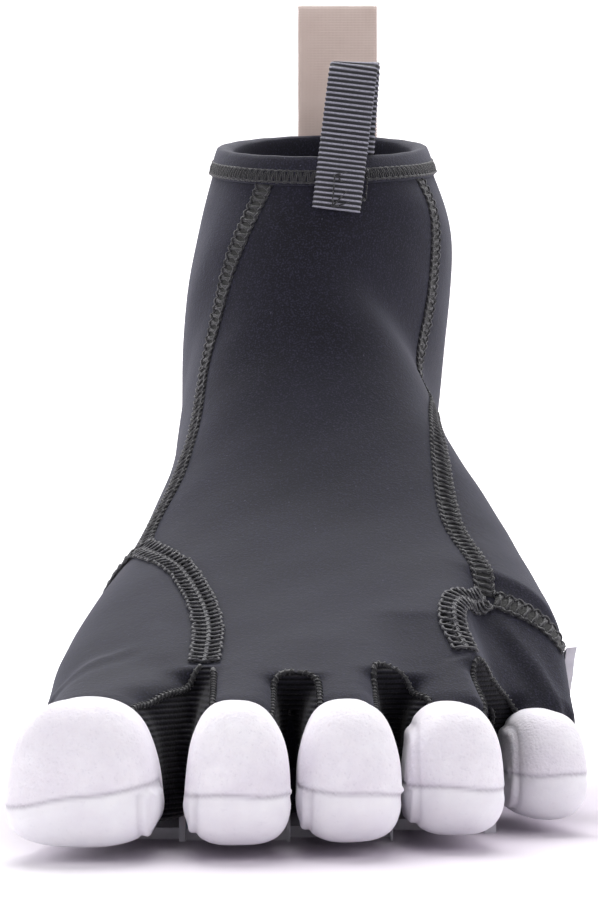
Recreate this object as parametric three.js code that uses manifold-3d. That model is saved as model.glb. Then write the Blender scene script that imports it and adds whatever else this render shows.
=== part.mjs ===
// A left five-toe neoprene water boot, about EU 42. The upper is sewn from neoprene panels round a
// hollow foot shape, the sole is a rubber cup, and each toe is a sleeve of its own with a rubber cap
// above and a rubber pod below. A narrow webbing loop stands at the front of the collar and a wide
// one at the heel.
// Millimetres. -Y is towards the toes, +X towards the little toe, +Z up. The origin is on the ground
// under the middle of the bounding box.
import * as THREE from 'three';
import { mergeVertices } from 'three/addons/utils/BufferGeometryUtils.js';
import Module from 'manifold-3d';

const wasm = await Module();
wasm.setup();

// ---------- driving dimensions ----------
const LENGTH = 268.6; // big toe tip to heel
const NEOPRENE = 3.5; // thickness of an upper panel with its lining
const GAP = 0.35; // clearance between neighbouring pieces
const BOARD = 2.2; // lasting board under the foot
const FOOTBED = 3.2;
const TREAD_TOP = 4.6; // top of the flat tread plate
const RAND = 2.3; // thickness of the sole's side wall
const EDGE_HEIGHT = 7.5; // height at which the upper panels meet the lasting board
const SEAM_WIDTH = 5; // flat stitched seams on the leg
const TOE_SEAM_WIDTH = 6.8; // wide stitched seams round the outer toes
const SEAM_HEIGHT = 0.8;
const BINDING_DEPTH = 7; // how far the collar binding reaches down from the rim
const BINDING_THICK = 1;
const RUBBER = 1.6; // wall of a toe cap or toe pod
const SLEEVE = 1.8; // wall of a toe sleeve
const CAP_LENGTH = 19; // how far a cap reaches back over its toe
const TOE_SPLIT = 12.4; // height of the parting line between a cap and its pod
const TOE_BOTTOM = 2.6; // height of the toes' undersides
const LIP = 1.2; // how far the upper reaches forward over the toe joints
// out is how far a loop stands outside the upper's surface. The front one straddles the rim, and the
// heel one has both of its ends outside.
const FRONT_LOOP = { width: 12.5, thick: 1.2, height: 25, x: 8.6, lean: 6, out: -NEOPRENE / 2 };
const HEEL_LOOP = { width: 24, thick: 1.5, height: 42, x: 8.8, lean: 0, out: 3.2 };

// The foot form, as slices from the toes, through the instep, to the collar. Each slice runs from
// its dorsal point to its plantar point, both [distance behind the toe tips, height], and from its
// medial to its lateral x. waist is how far up the slice it is widest; round and flat are the
// superellipse powers of its upper and lower halves.
const SLICES = [
  { dorsal: [34, 33], plantar: [36, 5], x: [-54, 56], waist: 0.6, round: 3.4, flat: 3.4 },
  { dorsal: [60, 44], plantar: [62, 5], x: [-54.6, 57.8], waist: 0.6, round: 3.3, flat: 3.4 },
  { dorsal: [85, 56.5], plantar: [88, 5], x: [-53.5, 57.3], waist: 0.54, round: 3, flat: 3.3 },
  { dorsal: [108, 71], plantar: [122, 5], x: [-50.4, 56.8], waist: 0.48, round: 2.6, flat: 3 },
  { dorsal: [128, 90], plantar: [168, 5], x: [-44.6, 52.4], waist: 0.47, round: 2.5, flat: 2.8 },
  { dorsal: [141, 109], plantar: [214, 5], x: [-39.9, 44.7], waist: 0.5, round: 2.3, flat: 2.7 },
  { dorsal: [147, 125], plantar: [251, 7.5], x: [-38.2, 40.8], waist: 0.5, round: 2.2, flat: 2.6 },
  { dorsal: [150, 137], plantar: [267.2, 38], x: [-36.3, 35.5], waist: 0.5, round: 2.15, flat: 2.4 },
  { dorsal: [152, 148], plantar: [260, 95], x: [-35.4, 38.8], waist: 0.5, round: 2.15, flat: 2.1 },
  { dorsal: [153.5, 157], plantar: [247, 146], x: [-31.3, 40.4], waist: 0.5, round: 2.05, flat: 2.1 },
  { dorsal: [154.5, 164], plantar: [240, 190], x: [-25.2, 32.6], waist: 0.5, round: 2.05, flat: 2.1 },
];
const RIM = SLICES.length - 1;
const SHEAR = 0.045; // the heel stands this far to the little-toe side per mm of length

// Seams across the dorsal side, as shares of a slice's half width, one value per slice.
const MEDIAL_SEAM = [-0.43, -0.425, -0.555, -0.8, -0.755, -0.725, -0.685, -0.58, -0.465, -0.43, -0.41];
const LATERAL_SEAM = [0.48, 0.53, 0.67, 0.565, 0.6, 0.73, 0.83, 0.88, 0.89, 0.84, 0.82];
const MEDIAL_TOE_END = 3; // slice where the big-toe panel meets the quarter
const LATERAL_TOE_END = 2; // slice where the little-toe panel meets the quarter
// Height of the sole's side wall at the slices it passes, big-toe side and little-toe side.
const RAND_MEDIAL = [13, 14, 15, 15, 15, 16, 21];
const RAND_LATERAL = [17, 26, 38, 30, 17, 16, 21];
const HEEL_CUP = 6.45; // slice where the side wall closes behind the heel

// The toes, from the big one. tip and hinge are distances behind the big toe's tip, x and the half
// widths run from the hinge to the tip, and top is the height of the toe's back at the two.
const TOES = [
  { tip: 0, hinge: 43, x: [-41.5, -43.6], half: [12.4, 14], top: [31.4, 30], taper: 0.12 },
  { tip: 3, hinge: 41, x: [-16.3, -13.9], half: [8.5, 10], top: [32.2, 29.3], taper: 0.08 },
  { tip: 8, hinge: 46, x: [4.8, 7.1], half: [8.5, 9.9], top: [34, 29.3], taper: 0.08 },
  { tip: 19, hinge: 59, x: [25.2, 27.9], half: [8.3, 9.7], top: [38.6, 28.3], taper: 0.08 },
  { tip: 48, hinge: 78, x: [46.2, 49.6], half: [7.8, 8.6], top: [39.5, 25.4], taper: 0.08 },
].map((toe) => ({
  ...toe,
  centre: (toe.top[0] + TOE_BOTTOM) / 2,
  radius: (toe.top[0] - TOE_BOTTOM) / 2,
}));

// ---------- materials ----------
const paint = (color, roughness) => new THREE.MeshStandardMaterial({ color, roughness, metalness: 0 });
const neoprene = paint(0x35353d, 0.85);
const gussetKnit = paint(0x17171c, 0.9);
const thread = paint(0x24242a, 0.6);
const binding = paint(0x3c3c46, 0.85);
const rubber = paint(0xe9e6ec, 0.75);
const blackWebbing = paint(0x3f3f49, 0.7);
const paleWebbing = paint(0xc9bdb8, 0.8);
const board = paint(0x2a2a2e, 0.9);
const foam = paint(0x1d1d21, 0.95);

// ---------- small helpers ----------
const behind = (t) => t - LENGTH / 2; // distance behind the toe tips to Y
const clamp = (v, lo, hi) => Math.min(hi, Math.max(lo, v));

// A smooth curve through evenly spaced values, read at a fractional index.
function along(values, s) {
  const last = values.length - 1;
  const i = clamp(Math.floor(s), 0, last - 1);
  const f = clamp(s - i, 0, 1);
  const at = (k) => values[clamp(k, 0, last)];
  const m0 = (at(i + 1) - at(i - 1)) / (i === 0 ? 1 : 2);
  const m1 = (at(i + 2) - at(i)) / (i + 1 === last ? 1 : 2);
  const f2 = f * f;
  const f3 = f2 * f;
  return (2 * f3 - 3 * f2 + 1) * at(i) + (f3 - 2 * f2 + f) * m0
    + (3 * f2 - 2 * f3) * at(i + 1) + (f3 - f2) * m1;
}

const column = (pick) => SLICES.map(pick);
const COLUMNS = {
  dorsalT: column((r) => r.dorsal[0]),
  dorsalZ: column((r) => r.dorsal[1]),
  plantarT: column((r) => r.plantar[0]),
  plantarZ: column((r) => r.plantar[1]),
  medial: column((r) => r.x[0]),
  lateral: column((r) => r.x[1]),
  waist: column((r) => r.waist),
  round: column((r) => r.round),
  flat: column((r) => r.flat),
};

function slice(s) {
  const read = (name) => along(COLUMNS[name], s);
  const dorsal = new THREE.Vector2(read('dorsalT'), read('dorsalZ'));
  const plantar = new THREE.Vector2(read('plantarT'), read('plantarZ'));
  const centre = plantar.clone().lerp(dorsal, read('waist'));
  return {
    dorsal, plantar, centre,
    middle: (read('medial') + read('lateral')) / 2,
    half: (read('lateral') - read('medial')) / 2,
    round: read('round'),
    flat: read('flat'),
  };
}

// A point of the foot form. v runs round the slice: 0 at the dorsal point, -0.5 on the big-toe side,
// 0.5 on the little-toe side, and 1 at the plantar point.
function formPoint(s, v) {
  const r = slice(s);
  const c = Math.cos(Math.PI * v);
  const q = Math.sin(Math.PI * v);
  const power = c > 0 ? r.round : r.flat;
  const k = (Math.abs(c) ** power + Math.abs(q) ** power) ** (-1 / power);
  const towards = c > 0 ? r.dorsal : r.plantar;
  const p = r.centre.clone().lerp(towards, Math.abs(c) * k);
  return new THREE.Vector3(r.middle + r.half * q * k + SHEAR * (p.x - r.centre.x), behind(p.x), p.y);
}

const STEP = 0.004; // for slopes, in slices and in v
const ROW = 0.5; // spacing of a panel's rows, in slices

function slopes(s, v) {
  const s0 = clamp(s - STEP, 0, RIM);
  const s1 = clamp(s + STEP, 0, RIM);
  const ds = formPoint(s1, v).sub(formPoint(s0, v)).divideScalar(s1 - s0);
  const dv = formPoint(s, v + STEP).sub(formPoint(s, v - STEP)).divideScalar(2 * STEP);
  return { ds, dv, normal: ds.clone().cross(dv).normalize().negate() };
}

const lifted = (s, v, height) => formPoint(s, v).addScaledVector(slopes(s, v).normal, height);

// The v of a share of the half width on the dorsal side of a slice.
function vOfShare(s, share) {
  const power = along(COLUMNS.round, s);
  const up = (1 - Math.abs(share) ** power) ** (1 / power);
  return Math.atan2(share, up) / Math.PI;
}
const medialSeam = (s) => vOfShare(s, along(MEDIAL_SEAM, s));
const lateralSeam = (s) => vOfShare(s, along(LATERAL_SEAM, s));

// The v, on one side of a slice, at which the form is at a height above the ground.
function vAtHeight(s, height, side) {
  let lo = 0.2;
  let hi = 1;
  if (formPoint(s, side).z >= height) return side;
  for (let i = 0; i < 30; i++) {
    const mid = (lo + hi) / 2;
    if (formPoint(s, side * mid).z > height) lo = mid;
    else hi = mid;
  }
  return side * lo;
}

// How far along the slices a line at v has come when it is still that far short of the rim.
function shortOfRim(v, distance) {
  let s = RIM;
  let left = distance;
  while (left > 0) {
    left -= formPoint(s, v).distanceTo(formPoint(s - STEP, v));
    s -= STEP;
  }
  return s;
}

// ---------- closed surfaces ----------
function indexed(points, triangles) {
  const g = new THREE.BufferGeometry();
  g.setAttribute('position', new THREE.Float32BufferAttribute(points.flatMap((p) => [p.x, p.y, p.z]), 3));
  g.setIndex(triangles.flat());
  return g;
}

// Rings of points joined side to side, with both ends closed by a fan.
function loft(rings) {
  const n = rings[0].length;
  const points = rings.flat();
  const triangles = [];
  for (let i = 0; i + 1 < rings.length; i++) {
    for (let j = 0; j < n; j++) {
      const a = i * n + j;
      const b = i * n + ((j + 1) % n);
      triangles.push([a, b, b + n], [a, b + n, a + n]);
    }
  }
  const centre = (ring) => ring.reduce((sum, p) => sum.add(p), new THREE.Vector3()).divideScalar(n);
  const first = points.push(centre(rings[0])) - 1;
  const last = points.push(centre(rings.at(-1))) - 1;
  const top = (rings.length - 1) * n;
  for (let j = 0; j < n; j++) {
    triangles.push([first, (j + 1) % n, j], [last, top + j, top + ((j + 1) % n)]);
  }
  return indexed(points, triangles);
}

// A closed profile carried round a closed ring.
function hoop(rings) {
  const n = rings[0].length;
  const m = rings.length;
  const triangles = [];
  for (let i = 0; i < m; i++) {
    for (let j = 0; j < n; j++) {
      const a = i * n + j;
      const b = i * n + ((j + 1) % n);
      const c = ((i + 1) % m) * n + ((j + 1) % n);
      const d = ((i + 1) % m) * n + j;
      triangles.push([a, b, c], [a, c, d]);
    }
  }
  return indexed(rings.flat(), triangles);
}

// Two grids of points, one above the other, closed round their edge.
function slab(top, bottom) {
  const rows = top.length;
  const cols = top[0].length;
  const id = (i, j, under) => under * rows * cols + i * cols + j;
  const triangles = [];
  const quad = (a, b, c, d) => triangles.push([a, b, c], [a, c, d]);
  for (let i = 0; i + 1 < rows; i++) {
    for (let j = 0; j + 1 < cols; j++) {
      quad(id(i, j, 0), id(i + 1, j, 0), id(i + 1, j + 1, 0), id(i, j + 1, 0));
      quad(id(i, j, 1), id(i, j + 1, 1), id(i + 1, j + 1, 1), id(i + 1, j, 1));
    }
  }
  const rim = [];
  for (let j = 0; j < cols - 1; j++) rim.push([0, j]);
  for (let i = 0; i < rows - 1; i++) rim.push([i, cols - 1]);
  for (let j = cols - 1; j > 0; j--) rim.push([rows - 1, j]);
  for (let i = rows - 1; i > 0; i--) rim.push([i, 0]);
  rim.forEach(([i, j], k) => {
    const [p, q] = rim[(k + 1) % rim.length];
    quad(id(i, j, 0), id(p, q, 0), id(p, q, 1), id(i, j, 1));
  });
  return indexed([...top.flat(), ...bottom.flat()], triangles);
}

// The ends of a stretch of the form and every half slice between them. Panels that share a seam take
// their rows from here, so that their edges stay parallel.
function rows(from, to) {
  const inner = [];
  for (let k = Math.floor(from / ROW) + 1; k * ROW < to - ROW / 5; k++) {
    if (k * ROW > from + ROW / 5) inner.push(k * ROW);
  }
  return [from, ...inner, to];
}

// A panel of the form between two slices and two v lines, from one height above it to another.
function panel({ from, to, left, right, across, outer, inner }) {
  const grid = (height) => rows(from, to).map((s) => {
    return Array.from({ length: across + 1 }, (_, j) => {
      const v = left(s) + ((right(s) - left(s)) * j) / across;
      return lifted(s, v, height);
    });
  });
  return slab(grid(outer), grid(inner));
}

// The gap that a panel keeps to the line of its seam, as a step of v. The line may run slantwise.
const halfGap = (s, v) => (0.9 * GAP) / slopes(s, v).dv.length();

// A flat band that follows a line of [s, v] points on the form.
function band(line, width, foot) {
  const grid = (height) => line.map(([s, v], k) => {
    const [sa, va] = line[Math.max(k - 1, 0)];
    const [sb, vb] = line[Math.min(k + 1, line.length - 1)];
    const { ds, dv, normal } = slopes(s, v);
    const ahead = ds.clone().multiplyScalar(sb - sa).addScaledVector(dv, vb - va).normalize();
    const across = normal.clone().cross(ahead).normalize();
    // The step of s and v that moves by one millimetre across the line.
    const a = ds.dot(ds);
    const b = ds.dot(dv);
    const c = dv.dot(dv);
    const e = across.dot(ds);
    const f = across.dot(dv);
    const det = a * c - b * b;
    const stepS = (c * e - b * f) / det;
    const stepV = (a * f - b * e) / det;
    return [-1, 0, 1].map((side) => {
      const reach = (side * width) / 2;
      return lifted(clamp(s + stepS * reach, 0, RIM), v + stepV * reach, height);
    });
  });
  return slab(grid(foot + SEAM_HEIGHT), grid(foot));
}

// ---------- solids ----------
function solid(geometry) {
  const g = geometry.clone();
  g.deleteAttribute('normal');
  g.deleteAttribute('uv');
  const merged = mergeVertices(g, 1e-4);
  const make = (triVerts) => new wasm.Manifold(new wasm.Mesh({
    numProp: 3, vertProperties: merged.attributes.position.array, triVerts,
  }));
  const triVerts = new Uint32Array(merged.index.array);
  const made = make(triVerts);
  return made.volume() > 0 ? made : make(triVerts.reverse());
}

function geometryOf(made) {
  const m = made.getMesh();
  const g = new THREE.BufferGeometry();
  const points = new Float32Array(m.numVert * 3);
  for (let i = 0; i < m.numVert; i++) {
    points.set(m.vertProperties.subarray(i * m.numProp, i * m.numProp + 3), i * 3);
  }
  g.setAttribute('position', new THREE.BufferAttribute(points, 3));
  g.setIndex(new THREE.BufferAttribute(m.triVerts, 1));
  const flat = g.toNonIndexed();
  flat.computeVertexNormals();
  return flat;
}

// A block between two corners, in x, distance behind the toe tips, and height.
function block([x0, t0, z0], [x1, t1, z1]) {
  const g = new THREE.BoxGeometry(x1 - x0, t1 - t0, z1 - z0);
  g.translate((x0 + x1) / 2, behind((t0 + t1) / 2), (z0 + z1) / 2);
  return solid(g);
}

const boot = new THREE.Group();
boot.name = 'boot';

const MIDDLE = 1.615; // x of the middle of the bounding box in the tables above

// Adds one piece, without any scraps that a cut has left beside it.
function add(name, made, material) {
  const pieces = made.decompose().sort((a, b) => b.volume() - a.volume());
  const mesh = new THREE.Mesh(geometryOf(pieces[0]), material);
  mesh.geometry.translate(-MIDDLE, 0, 0);
  mesh.name = name;
  boot.add(mesh);
}

// ---------- room for the toes ----------
const FAR = 90;
const share = (toe, t) => clamp((toe.hinge - t) / (toe.hinge - toe.tip), 0, 1);
const blend = ([from, to], f) => from + (to - from) * f;
const toeX = (toe, t) => blend(toe.x, share(toe, t));
const toeHalf = (toe, t) => blend(toe.half, Math.sin((share(toe, t) * Math.PI) / 2));
// The outermost x of a toe's side, at a distance behind the toe tips.
const toeEdge = (toe, t, side) => toeX(toe, t) + side * (1 + toe.taper) * toeHalf(toe, t);
const edges = TOES.map((toe) => [toe.x[0] - toe.half[0], toe.x[0] + toe.half[0]]);
const bounds = [-FAR, ...edges.slice(1).map(([left], i) => (edges[i][1] + left) / 2), FAR];

// A drum round a toe's joint.
function drum(toe, radius, x0, x1) {
  const g = new THREE.CylinderGeometry(radius, radius, x1 - x0, 40);
  g.rotateZ(Math.PI / 2);
  g.translate((x0 + x1) / 2, behind(toe.hinge), toe.centre);
  return solid(g);
}

// The toes' share of the space ahead, with a round seat for each toe's base, as one cutter.
const roomFor = (lip, reach) => TOES.map((toe, i) => {
  const [x0, x1] = reach(toe, i);
  const ahead = block([x0, -FAR, -FAR], [x1, toe.hinge - lip, FAR]);
  return drum(toe, toe.radius + GAP, x0, x1).add(ahead);
}).reduce((sum, one) => sum.add(one));
const toeRoom = roomFor(LIP, (toe, i) => [bounds[i], bounds[i + 1]]);
// The sole keeps a tongue between one toe and the next.
const soleRoom = roomFor(0, (toe, i) => [
  i === 0 ? -FAR : toeEdge(toe, toe.hinge - 10, -1) - GAP,
  i === TOES.length - 1 ? FAR : toeEdge(toe, toe.hinge - 10, 1) + GAP,
]);

// ---------- upper panels ----------
const upper = (options) => solid(panel({ outer: 0, inner: -NEOPRENE, ...options })).subtract(toeRoom);
const edge = (s, side) => vAtHeight(s, EDGE_HEIGHT, side);
const END_GAP = 0.015; // gap between panels that meet end to end, in slices

add('vamp_panel', upper({
  from: 0.1, to: RIM, across: 10,
  left: (s) => medialSeam(s) + halfGap(s, medialSeam(s)),
  right: (s) => lateralSeam(s) - halfGap(s, lateralSeam(s)),
}), neoprene);
add('big_toe_panel', upper({
  from: 0.1, to: MEDIAL_TOE_END - END_GAP, across: 7,
  left: (s) => edge(s, -1),
  right: (s) => medialSeam(s) - halfGap(s, medialSeam(s)),
}), neoprene);
add('little_toe_panel', upper({
  from: 1.1, to: LATERAL_TOE_END - END_GAP, across: 5,
  left: (s) => lateralSeam(s) + halfGap(s, lateralSeam(s)),
  right: (s) => edge(s, 1),
}), neoprene);
const quarterLeft = (s) => edge(s, -1) + halfGap(s, -1);
const quarterRight = (s) => edge(s, 1) - halfGap(s, 1);
add('medial_quarter', upper({
  from: MEDIAL_TOE_END + END_GAP, to: RIM, across: 11,
  left: quarterLeft,
  right: (s) => medialSeam(s) - halfGap(s, medialSeam(s)),
}), neoprene);
add('lateral_quarter', upper({
  from: LATERAL_TOE_END + END_GAP, to: RIM, across: 11,
  left: (s) => lateralSeam(s) + halfGap(s, lateralSeam(s)),
  right: quarterRight,
}), neoprene);

// ---------- under the foot ----------
const BOARD_END = 5.5; // slice where the board stops under the heel
const inset = (s, side) => edge(s, side) + side * (GAP / slopes(s, side * 0.8).dv.length());
const underfoot = (outer, inner, trim) => solid(panel({
  from: 0.1, to: BOARD_END, across: 8, outer, inner,
  left: (s) => Math.min(inset(s, 1) + trim, 0.97),
  right: (s) => 2 + Math.max(inset(s, -1) - trim, -0.97),
})).subtract(toeRoom);
add('lasting_board', underfoot(0, -BOARD, 0), board);
add('footbed', underfoot(-BOARD - GAP, -BOARD - GAP - FOOTBED, 0.05), foam);

// ---------- sole ----------
const FORM_SIDES = 56;
const form = solid(loft(rows(0, HEEL_CUP + 0.7).map((s) => Array.from(
  { length: FORM_SIDES },
  (_, j) => lifted(s, (2 * j) / FORM_SIDES - 1, GAP),
))));
const TONGUE = 6; // how far the sole reaches forward between two toes
const randTop = (s, side) => vAtHeight(s, along(side < 0 ? RAND_MEDIAL : RAND_LATERAL, s), side);
const sideWall = solid(panel({
  from: 0.1, to: HEEL_CUP, across: 14,
  left: (s) => Math.min(randTop(s, 1), 0.985),
  right: (s) => 2 + Math.max(randTop(s, -1), -0.985),
  outer: GAP + RAND, inner: -1,
}));
// The tread's outline is the side wall's, a little above the ground.
const TREAD_CONTOUR = 7;
const heelSlice = (() => {
  let [lo, hi] = [4, RIM];
  for (let i = 0; i < 30; i++) {
    const mid = (lo + hi) / 2;
    if (formPoint(mid, 1).z < TREAD_CONTOUR) lo = mid;
    else hi = mid;
  }
  return lo;
})();
const outlineSide = (side) => [
  ...rows(0.1, 5), ...[0.3, 0.55, 0.75, 0.9, 0.98].map((f) => blend([5, heelSlice], f)),
].map((s) => {
  const p = lifted(s, vAtHeight(s, TREAD_CONTOUR, side), GAP + RAND - 0.3);
  return new THREE.Vector2(p.x, p.y);
});
const treadShape = new THREE.Shape([...outlineSide(-1), ...outlineSide(1).reverse()]);
const tread = solid(new THREE.ExtrudeGeometry(treadShape, { depth: TREAD_TOP, bevelEnabled: false }));
const tongueRoom = TOES.slice(1).map((toe, i) => block(
  [bounds[i + 1] - 9, -FAR, -FAR], [bounds[i + 1] + 9, Math.min(toe.hinge, TOES[i].hinge) - TONGUE, FAR],
)).reduce((sum, one) => sum.add(one));
const cup = tread.add(sideWall).subtract(form);
add('outsole', cup.subtract(soleRoom).subtract(tongueRoom), rubber);

// ---------- toes ----------
const TOE_SIDES = 16;
const TOE_POWER = 2.6;
const NOSE = 15; // length of the rounded end of a toe
const NOSE_RINGS = 4;

// The height of a toe's back. It falls from the joint to the cap, and inside the drum of its joint
// so that the toe can lift under the edge of the upper.
function toeTop(toe, t) {
  const d = Math.max(toe.hinge - t, 0);
  const f = clamp(d / (toe.hinge - toe.tip - CAP_LENGTH), 0, 1);
  const eased = blend(toe.top, f * f * (3 - 2 * f));
  const arc = toe.centre + Math.sqrt(Math.max(toe.radius ** 2 - d * d, 0));
  return Math.max(Math.min(eased, arc), toe.top[1]);
}

// A toe's outer form, shrunk by an inset, and carried back past its hinge by an overrun.
function toeForm(toe, shrink, overrun) {
  const ring = (t, size) => {
    const top = toeTop(toe, t);
    const x = toeX(toe, t);
    const half = (toeHalf(toe, t) - shrink) * size;
    const tall = ((top - TOE_BOTTOM) / 2 - shrink) * size;
    return Array.from({ length: TOE_SIDES }, (_, j) => {
      const a = (2 * Math.PI * j) / TOE_SIDES;
      const c = Math.cos(a);
      const q = Math.sin(a);
      const k = (Math.abs(c) ** TOE_POWER + Math.abs(q) ** TOE_POWER) ** (-1 / TOE_POWER);
      const across = half * c * k * (1 - toe.taper * q * k);
      return new THREE.Vector3(x + across, behind(t), (top + TOE_BOTTOM) / 2 + tall * q * k);
    });
  };
  const tip = toe.tip + shrink;
  const shoulder = tip + NOSE;
  const rings = [toe.hinge + overrun, toe.hinge, toe.hinge - 5, toe.hinge - 10, shoulder + 3, shoulder]
    .filter((t, i, all) => i === 0 || t < all[i - 1] - 0.5).map((t) => ring(t, 1));
  for (let i = 1; i <= NOSE_RINGS; i++) {
    const ahead = Math.sin((i / NOSE_RINGS) * (Math.PI / 2) * 0.96);
    rings.push(ring(shoulder - NOSE * ahead, (1 - ahead ** TOE_POWER) ** (1 / TOE_POWER)));
  }
  return solid(loft(rings));
}

TOES.forEach((toe, i) => {
  const name = `toe_${i + 1}`;
  const reach = toe.radius + 4;
  const back = toe.tip + CAP_LENGTH;
  const capRoom = block([-FAR, -FAR, TOE_SPLIT + GAP / 2], [FAR, back, FAR]);
  const podRoom = block([-FAR, -FAR, -FAR], [FAR, FAR * 2, TOE_SPLIT - GAP / 2]);
  const bare = block([-FAR, back + GAP, TOE_SPLIT + GAP / 2], [FAR, FAR * 2, FAR]);
  // Behind its joint a toe is a drum, which turns in the seat of the upper.
  const swing = drum(toe, toe.radius, -FAR, FAR).add(block([-FAR, -FAR, -FAR], [FAR, toe.hinge, FAR]));
  const outer = toeForm(toe, 0, reach).intersect(swing);
  const wall = outer.subtract(toeForm(toe, RUBBER, reach + 2));
  const hollow = toeForm(toe, RUBBER + GAP + SLEEVE, reach + 2);
  const lining = toeForm(toe, RUBBER + GAP, reach).intersect(swing);
  const shown = toeForm(toe, GAP, reach).intersect(swing).intersect(bare);
  add(`${name}_sleeve`, lining.add(shown).subtract(hollow), neoprene);
  add(`${name}_cap`, wall.intersect(capRoom), rubber);
  add(`${name}_pod`, wall.intersect(podRoom), rubber);
});

// ---------- gussets: the webs between neighbouring toes ----------
const GUSSET = { reach: 7, depth: 8, low: 9.5, high: 36 };
const underVamp = form.subtract(solid(loft(rows(0.1, 4).map((s) => Array.from(
  { length: FORM_SIDES },
  (_, j) => lifted(s, (2 * j) / FORM_SIDES - 1, -NEOPRENE - GAP),
)))));
for (let i = 0; i < TOES.length - 1; i++) {
  const [a, b] = [TOES[i], TOES[i + 1]];
  const web = (3 * Math.min(a.hinge, b.hinge) + Math.max(a.hinge, b.hinge)) / 4;
  const [t0, t1] = [web - GUSSET.reach, web + GUSSET.depth];
  const x0 = Math.max(...[t0, web, t1].map((t) => toeEdge(a, t, 1))) + GAP;
  const x1 = Math.min(...[t0, web, t1].map((t) => toeEdge(b, t, -1))) - GAP;
  const side = new THREE.Shape();
  side.moveTo(behind(t0 + 1), GUSSET.low);
  side.lineTo(behind(t1), GUSSET.low);
  side.lineTo(behind(t1), GUSSET.high);
  side.lineTo(behind(t0 + 3), GUSSET.high);
  side.lineTo(behind(t0), GUSSET.high - 5);
  side.quadraticCurveTo(behind(t0 + 8), (GUSSET.low + GUSSET.high) / 2, behind(t0 + 1), GUSSET.low);
  const g = new THREE.ExtrudeGeometry(side, { depth: x1 - x0, bevelEnabled: false, curveSegments: 5 });
  // The shape's x is the model's y and its y the model's z, so the extrusion runs along x.
  g.applyMatrix4(new THREE.Matrix4().makeBasis(
    new THREE.Vector3(0, 1, 0), new THREE.Vector3(0, 0, 1), new THREE.Vector3(1, 0, 0),
  ));
  g.translate(x0, 0, 0);
  add(`gusset_${i + 1}_${i + 2}`, solid(g).subtract(underVamp), gussetKnit);
}

// ---------- collar binding ----------
const COLLAR_SIDES = 48;
const BINDING_GAP = 0.55; // wider, as the panels are flatter between their rows
const inside = -NEOPRENE - BINDING_GAP;
const bindingProfile = [
  [-BINDING_DEPTH, BINDING_GAP], [-BINDING_DEPTH / 2, BINDING_GAP], [GAP, BINDING_GAP],
  [GAP, inside], [-BINDING_DEPTH / 2, inside], [-BINDING_DEPTH, inside],
  [-BINDING_DEPTH, inside - BINDING_THICK], [-BINDING_DEPTH / 2, inside - BINDING_THICK],
  [GAP, inside - BINDING_THICK],
  [GAP + 1.3 * BINDING_THICK, (BINDING_GAP + inside) / 2],
  [GAP, BINDING_GAP + BINDING_THICK], [-BINDING_DEPTH / 2, BINDING_GAP + BINDING_THICK],
  [-BINDING_DEPTH, BINDING_GAP + BINDING_THICK],
];
// Below the rim the binding follows the skin, and above it goes straight on.
const atRim = (v, rise, out) => {
  if (rise < 0) return lifted(shortOfRim(v, -rise), v, out);
  const { ds, normal } = slopes(RIM, v);
  return formPoint(RIM, v)
    .addScaledVector(ds.clone().normalize(), rise).addScaledVector(normal, out);
};
add('collar_binding', solid(hoop(Array.from({ length: COLLAR_SIDES }, (_, i) => {
  const v = (2 * i) / COLLAR_SIDES;
  return bindingProfile.map(([rise, out]) => atRim(v, rise, out));
}))), binding);

// ---------- stitched seams ----------
const SEAM_STOP = BINDING_DEPTH + 1.2; // seams stop this far short of the rim
const line = (count, from, to, v) => Array.from({ length: count + 1 }, (_, i) => {
  const s = from + ((to - from) * i) / count;
  return [s, v(s)];
});
const seam = (points, width) => solid(band(points, width, GAP)).subtract(toeRoom);
const legSeam = (from, v) => seam(line(24, from, shortOfRim(v(RIM), SEAM_STOP), v), SEAM_WIDTH);
add('medial_vamp_seam', legSeam(MEDIAL_TOE_END + 0.16, medialSeam), thread);
add('lateral_vamp_seam', legSeam(LATERAL_TOE_END + 0.2, lateralSeam), thread);

// The seam of the big-toe panel runs back beside the vamp and then turns down over the medial side.
const arcDown = (end, start, low, side) => line(7, 0, 1, (f) => f)
  .slice(1).map(([f]) => [end, start + (vAtHeight(end, low, side) - start) * f]);
add('big_toe_seam', seam([
  ...line(14, 0.45, MEDIAL_TOE_END, medialSeam),
  ...arcDown(MEDIAL_TOE_END, medialSeam(MEDIAL_TOE_END), RAND_MEDIAL[3] + 6, -1),
], TOE_SEAM_WIDTH), thread);
add('little_toe_seam', seam([
  ...line(8, 1.15, LATERAL_TOE_END, lateralSeam),
  ...arcDown(LATERAL_TOE_END, lateralSeam(LATERAL_TOE_END), RAND_LATERAL[2] + 5, 1),
], TOE_SEAM_WIDTH * 0.9), thread);
add('heel_seam', seam(line(20, HEEL_CUP + 0.2, shortOfRim(1, SEAM_STOP + 2), () => 1), SEAM_WIDTH), thread);

// ---------- pull loops ----------
// A loop's side view is a hairpin: two legs that swell apart and meet in a round top.
const LOOP_AXIS = 4; // the loops bend this far above the rim
const LEG_ROOT = 1.3; // half distance between the legs where the loop bends
const LEG_SWELL = 4.2;

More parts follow.
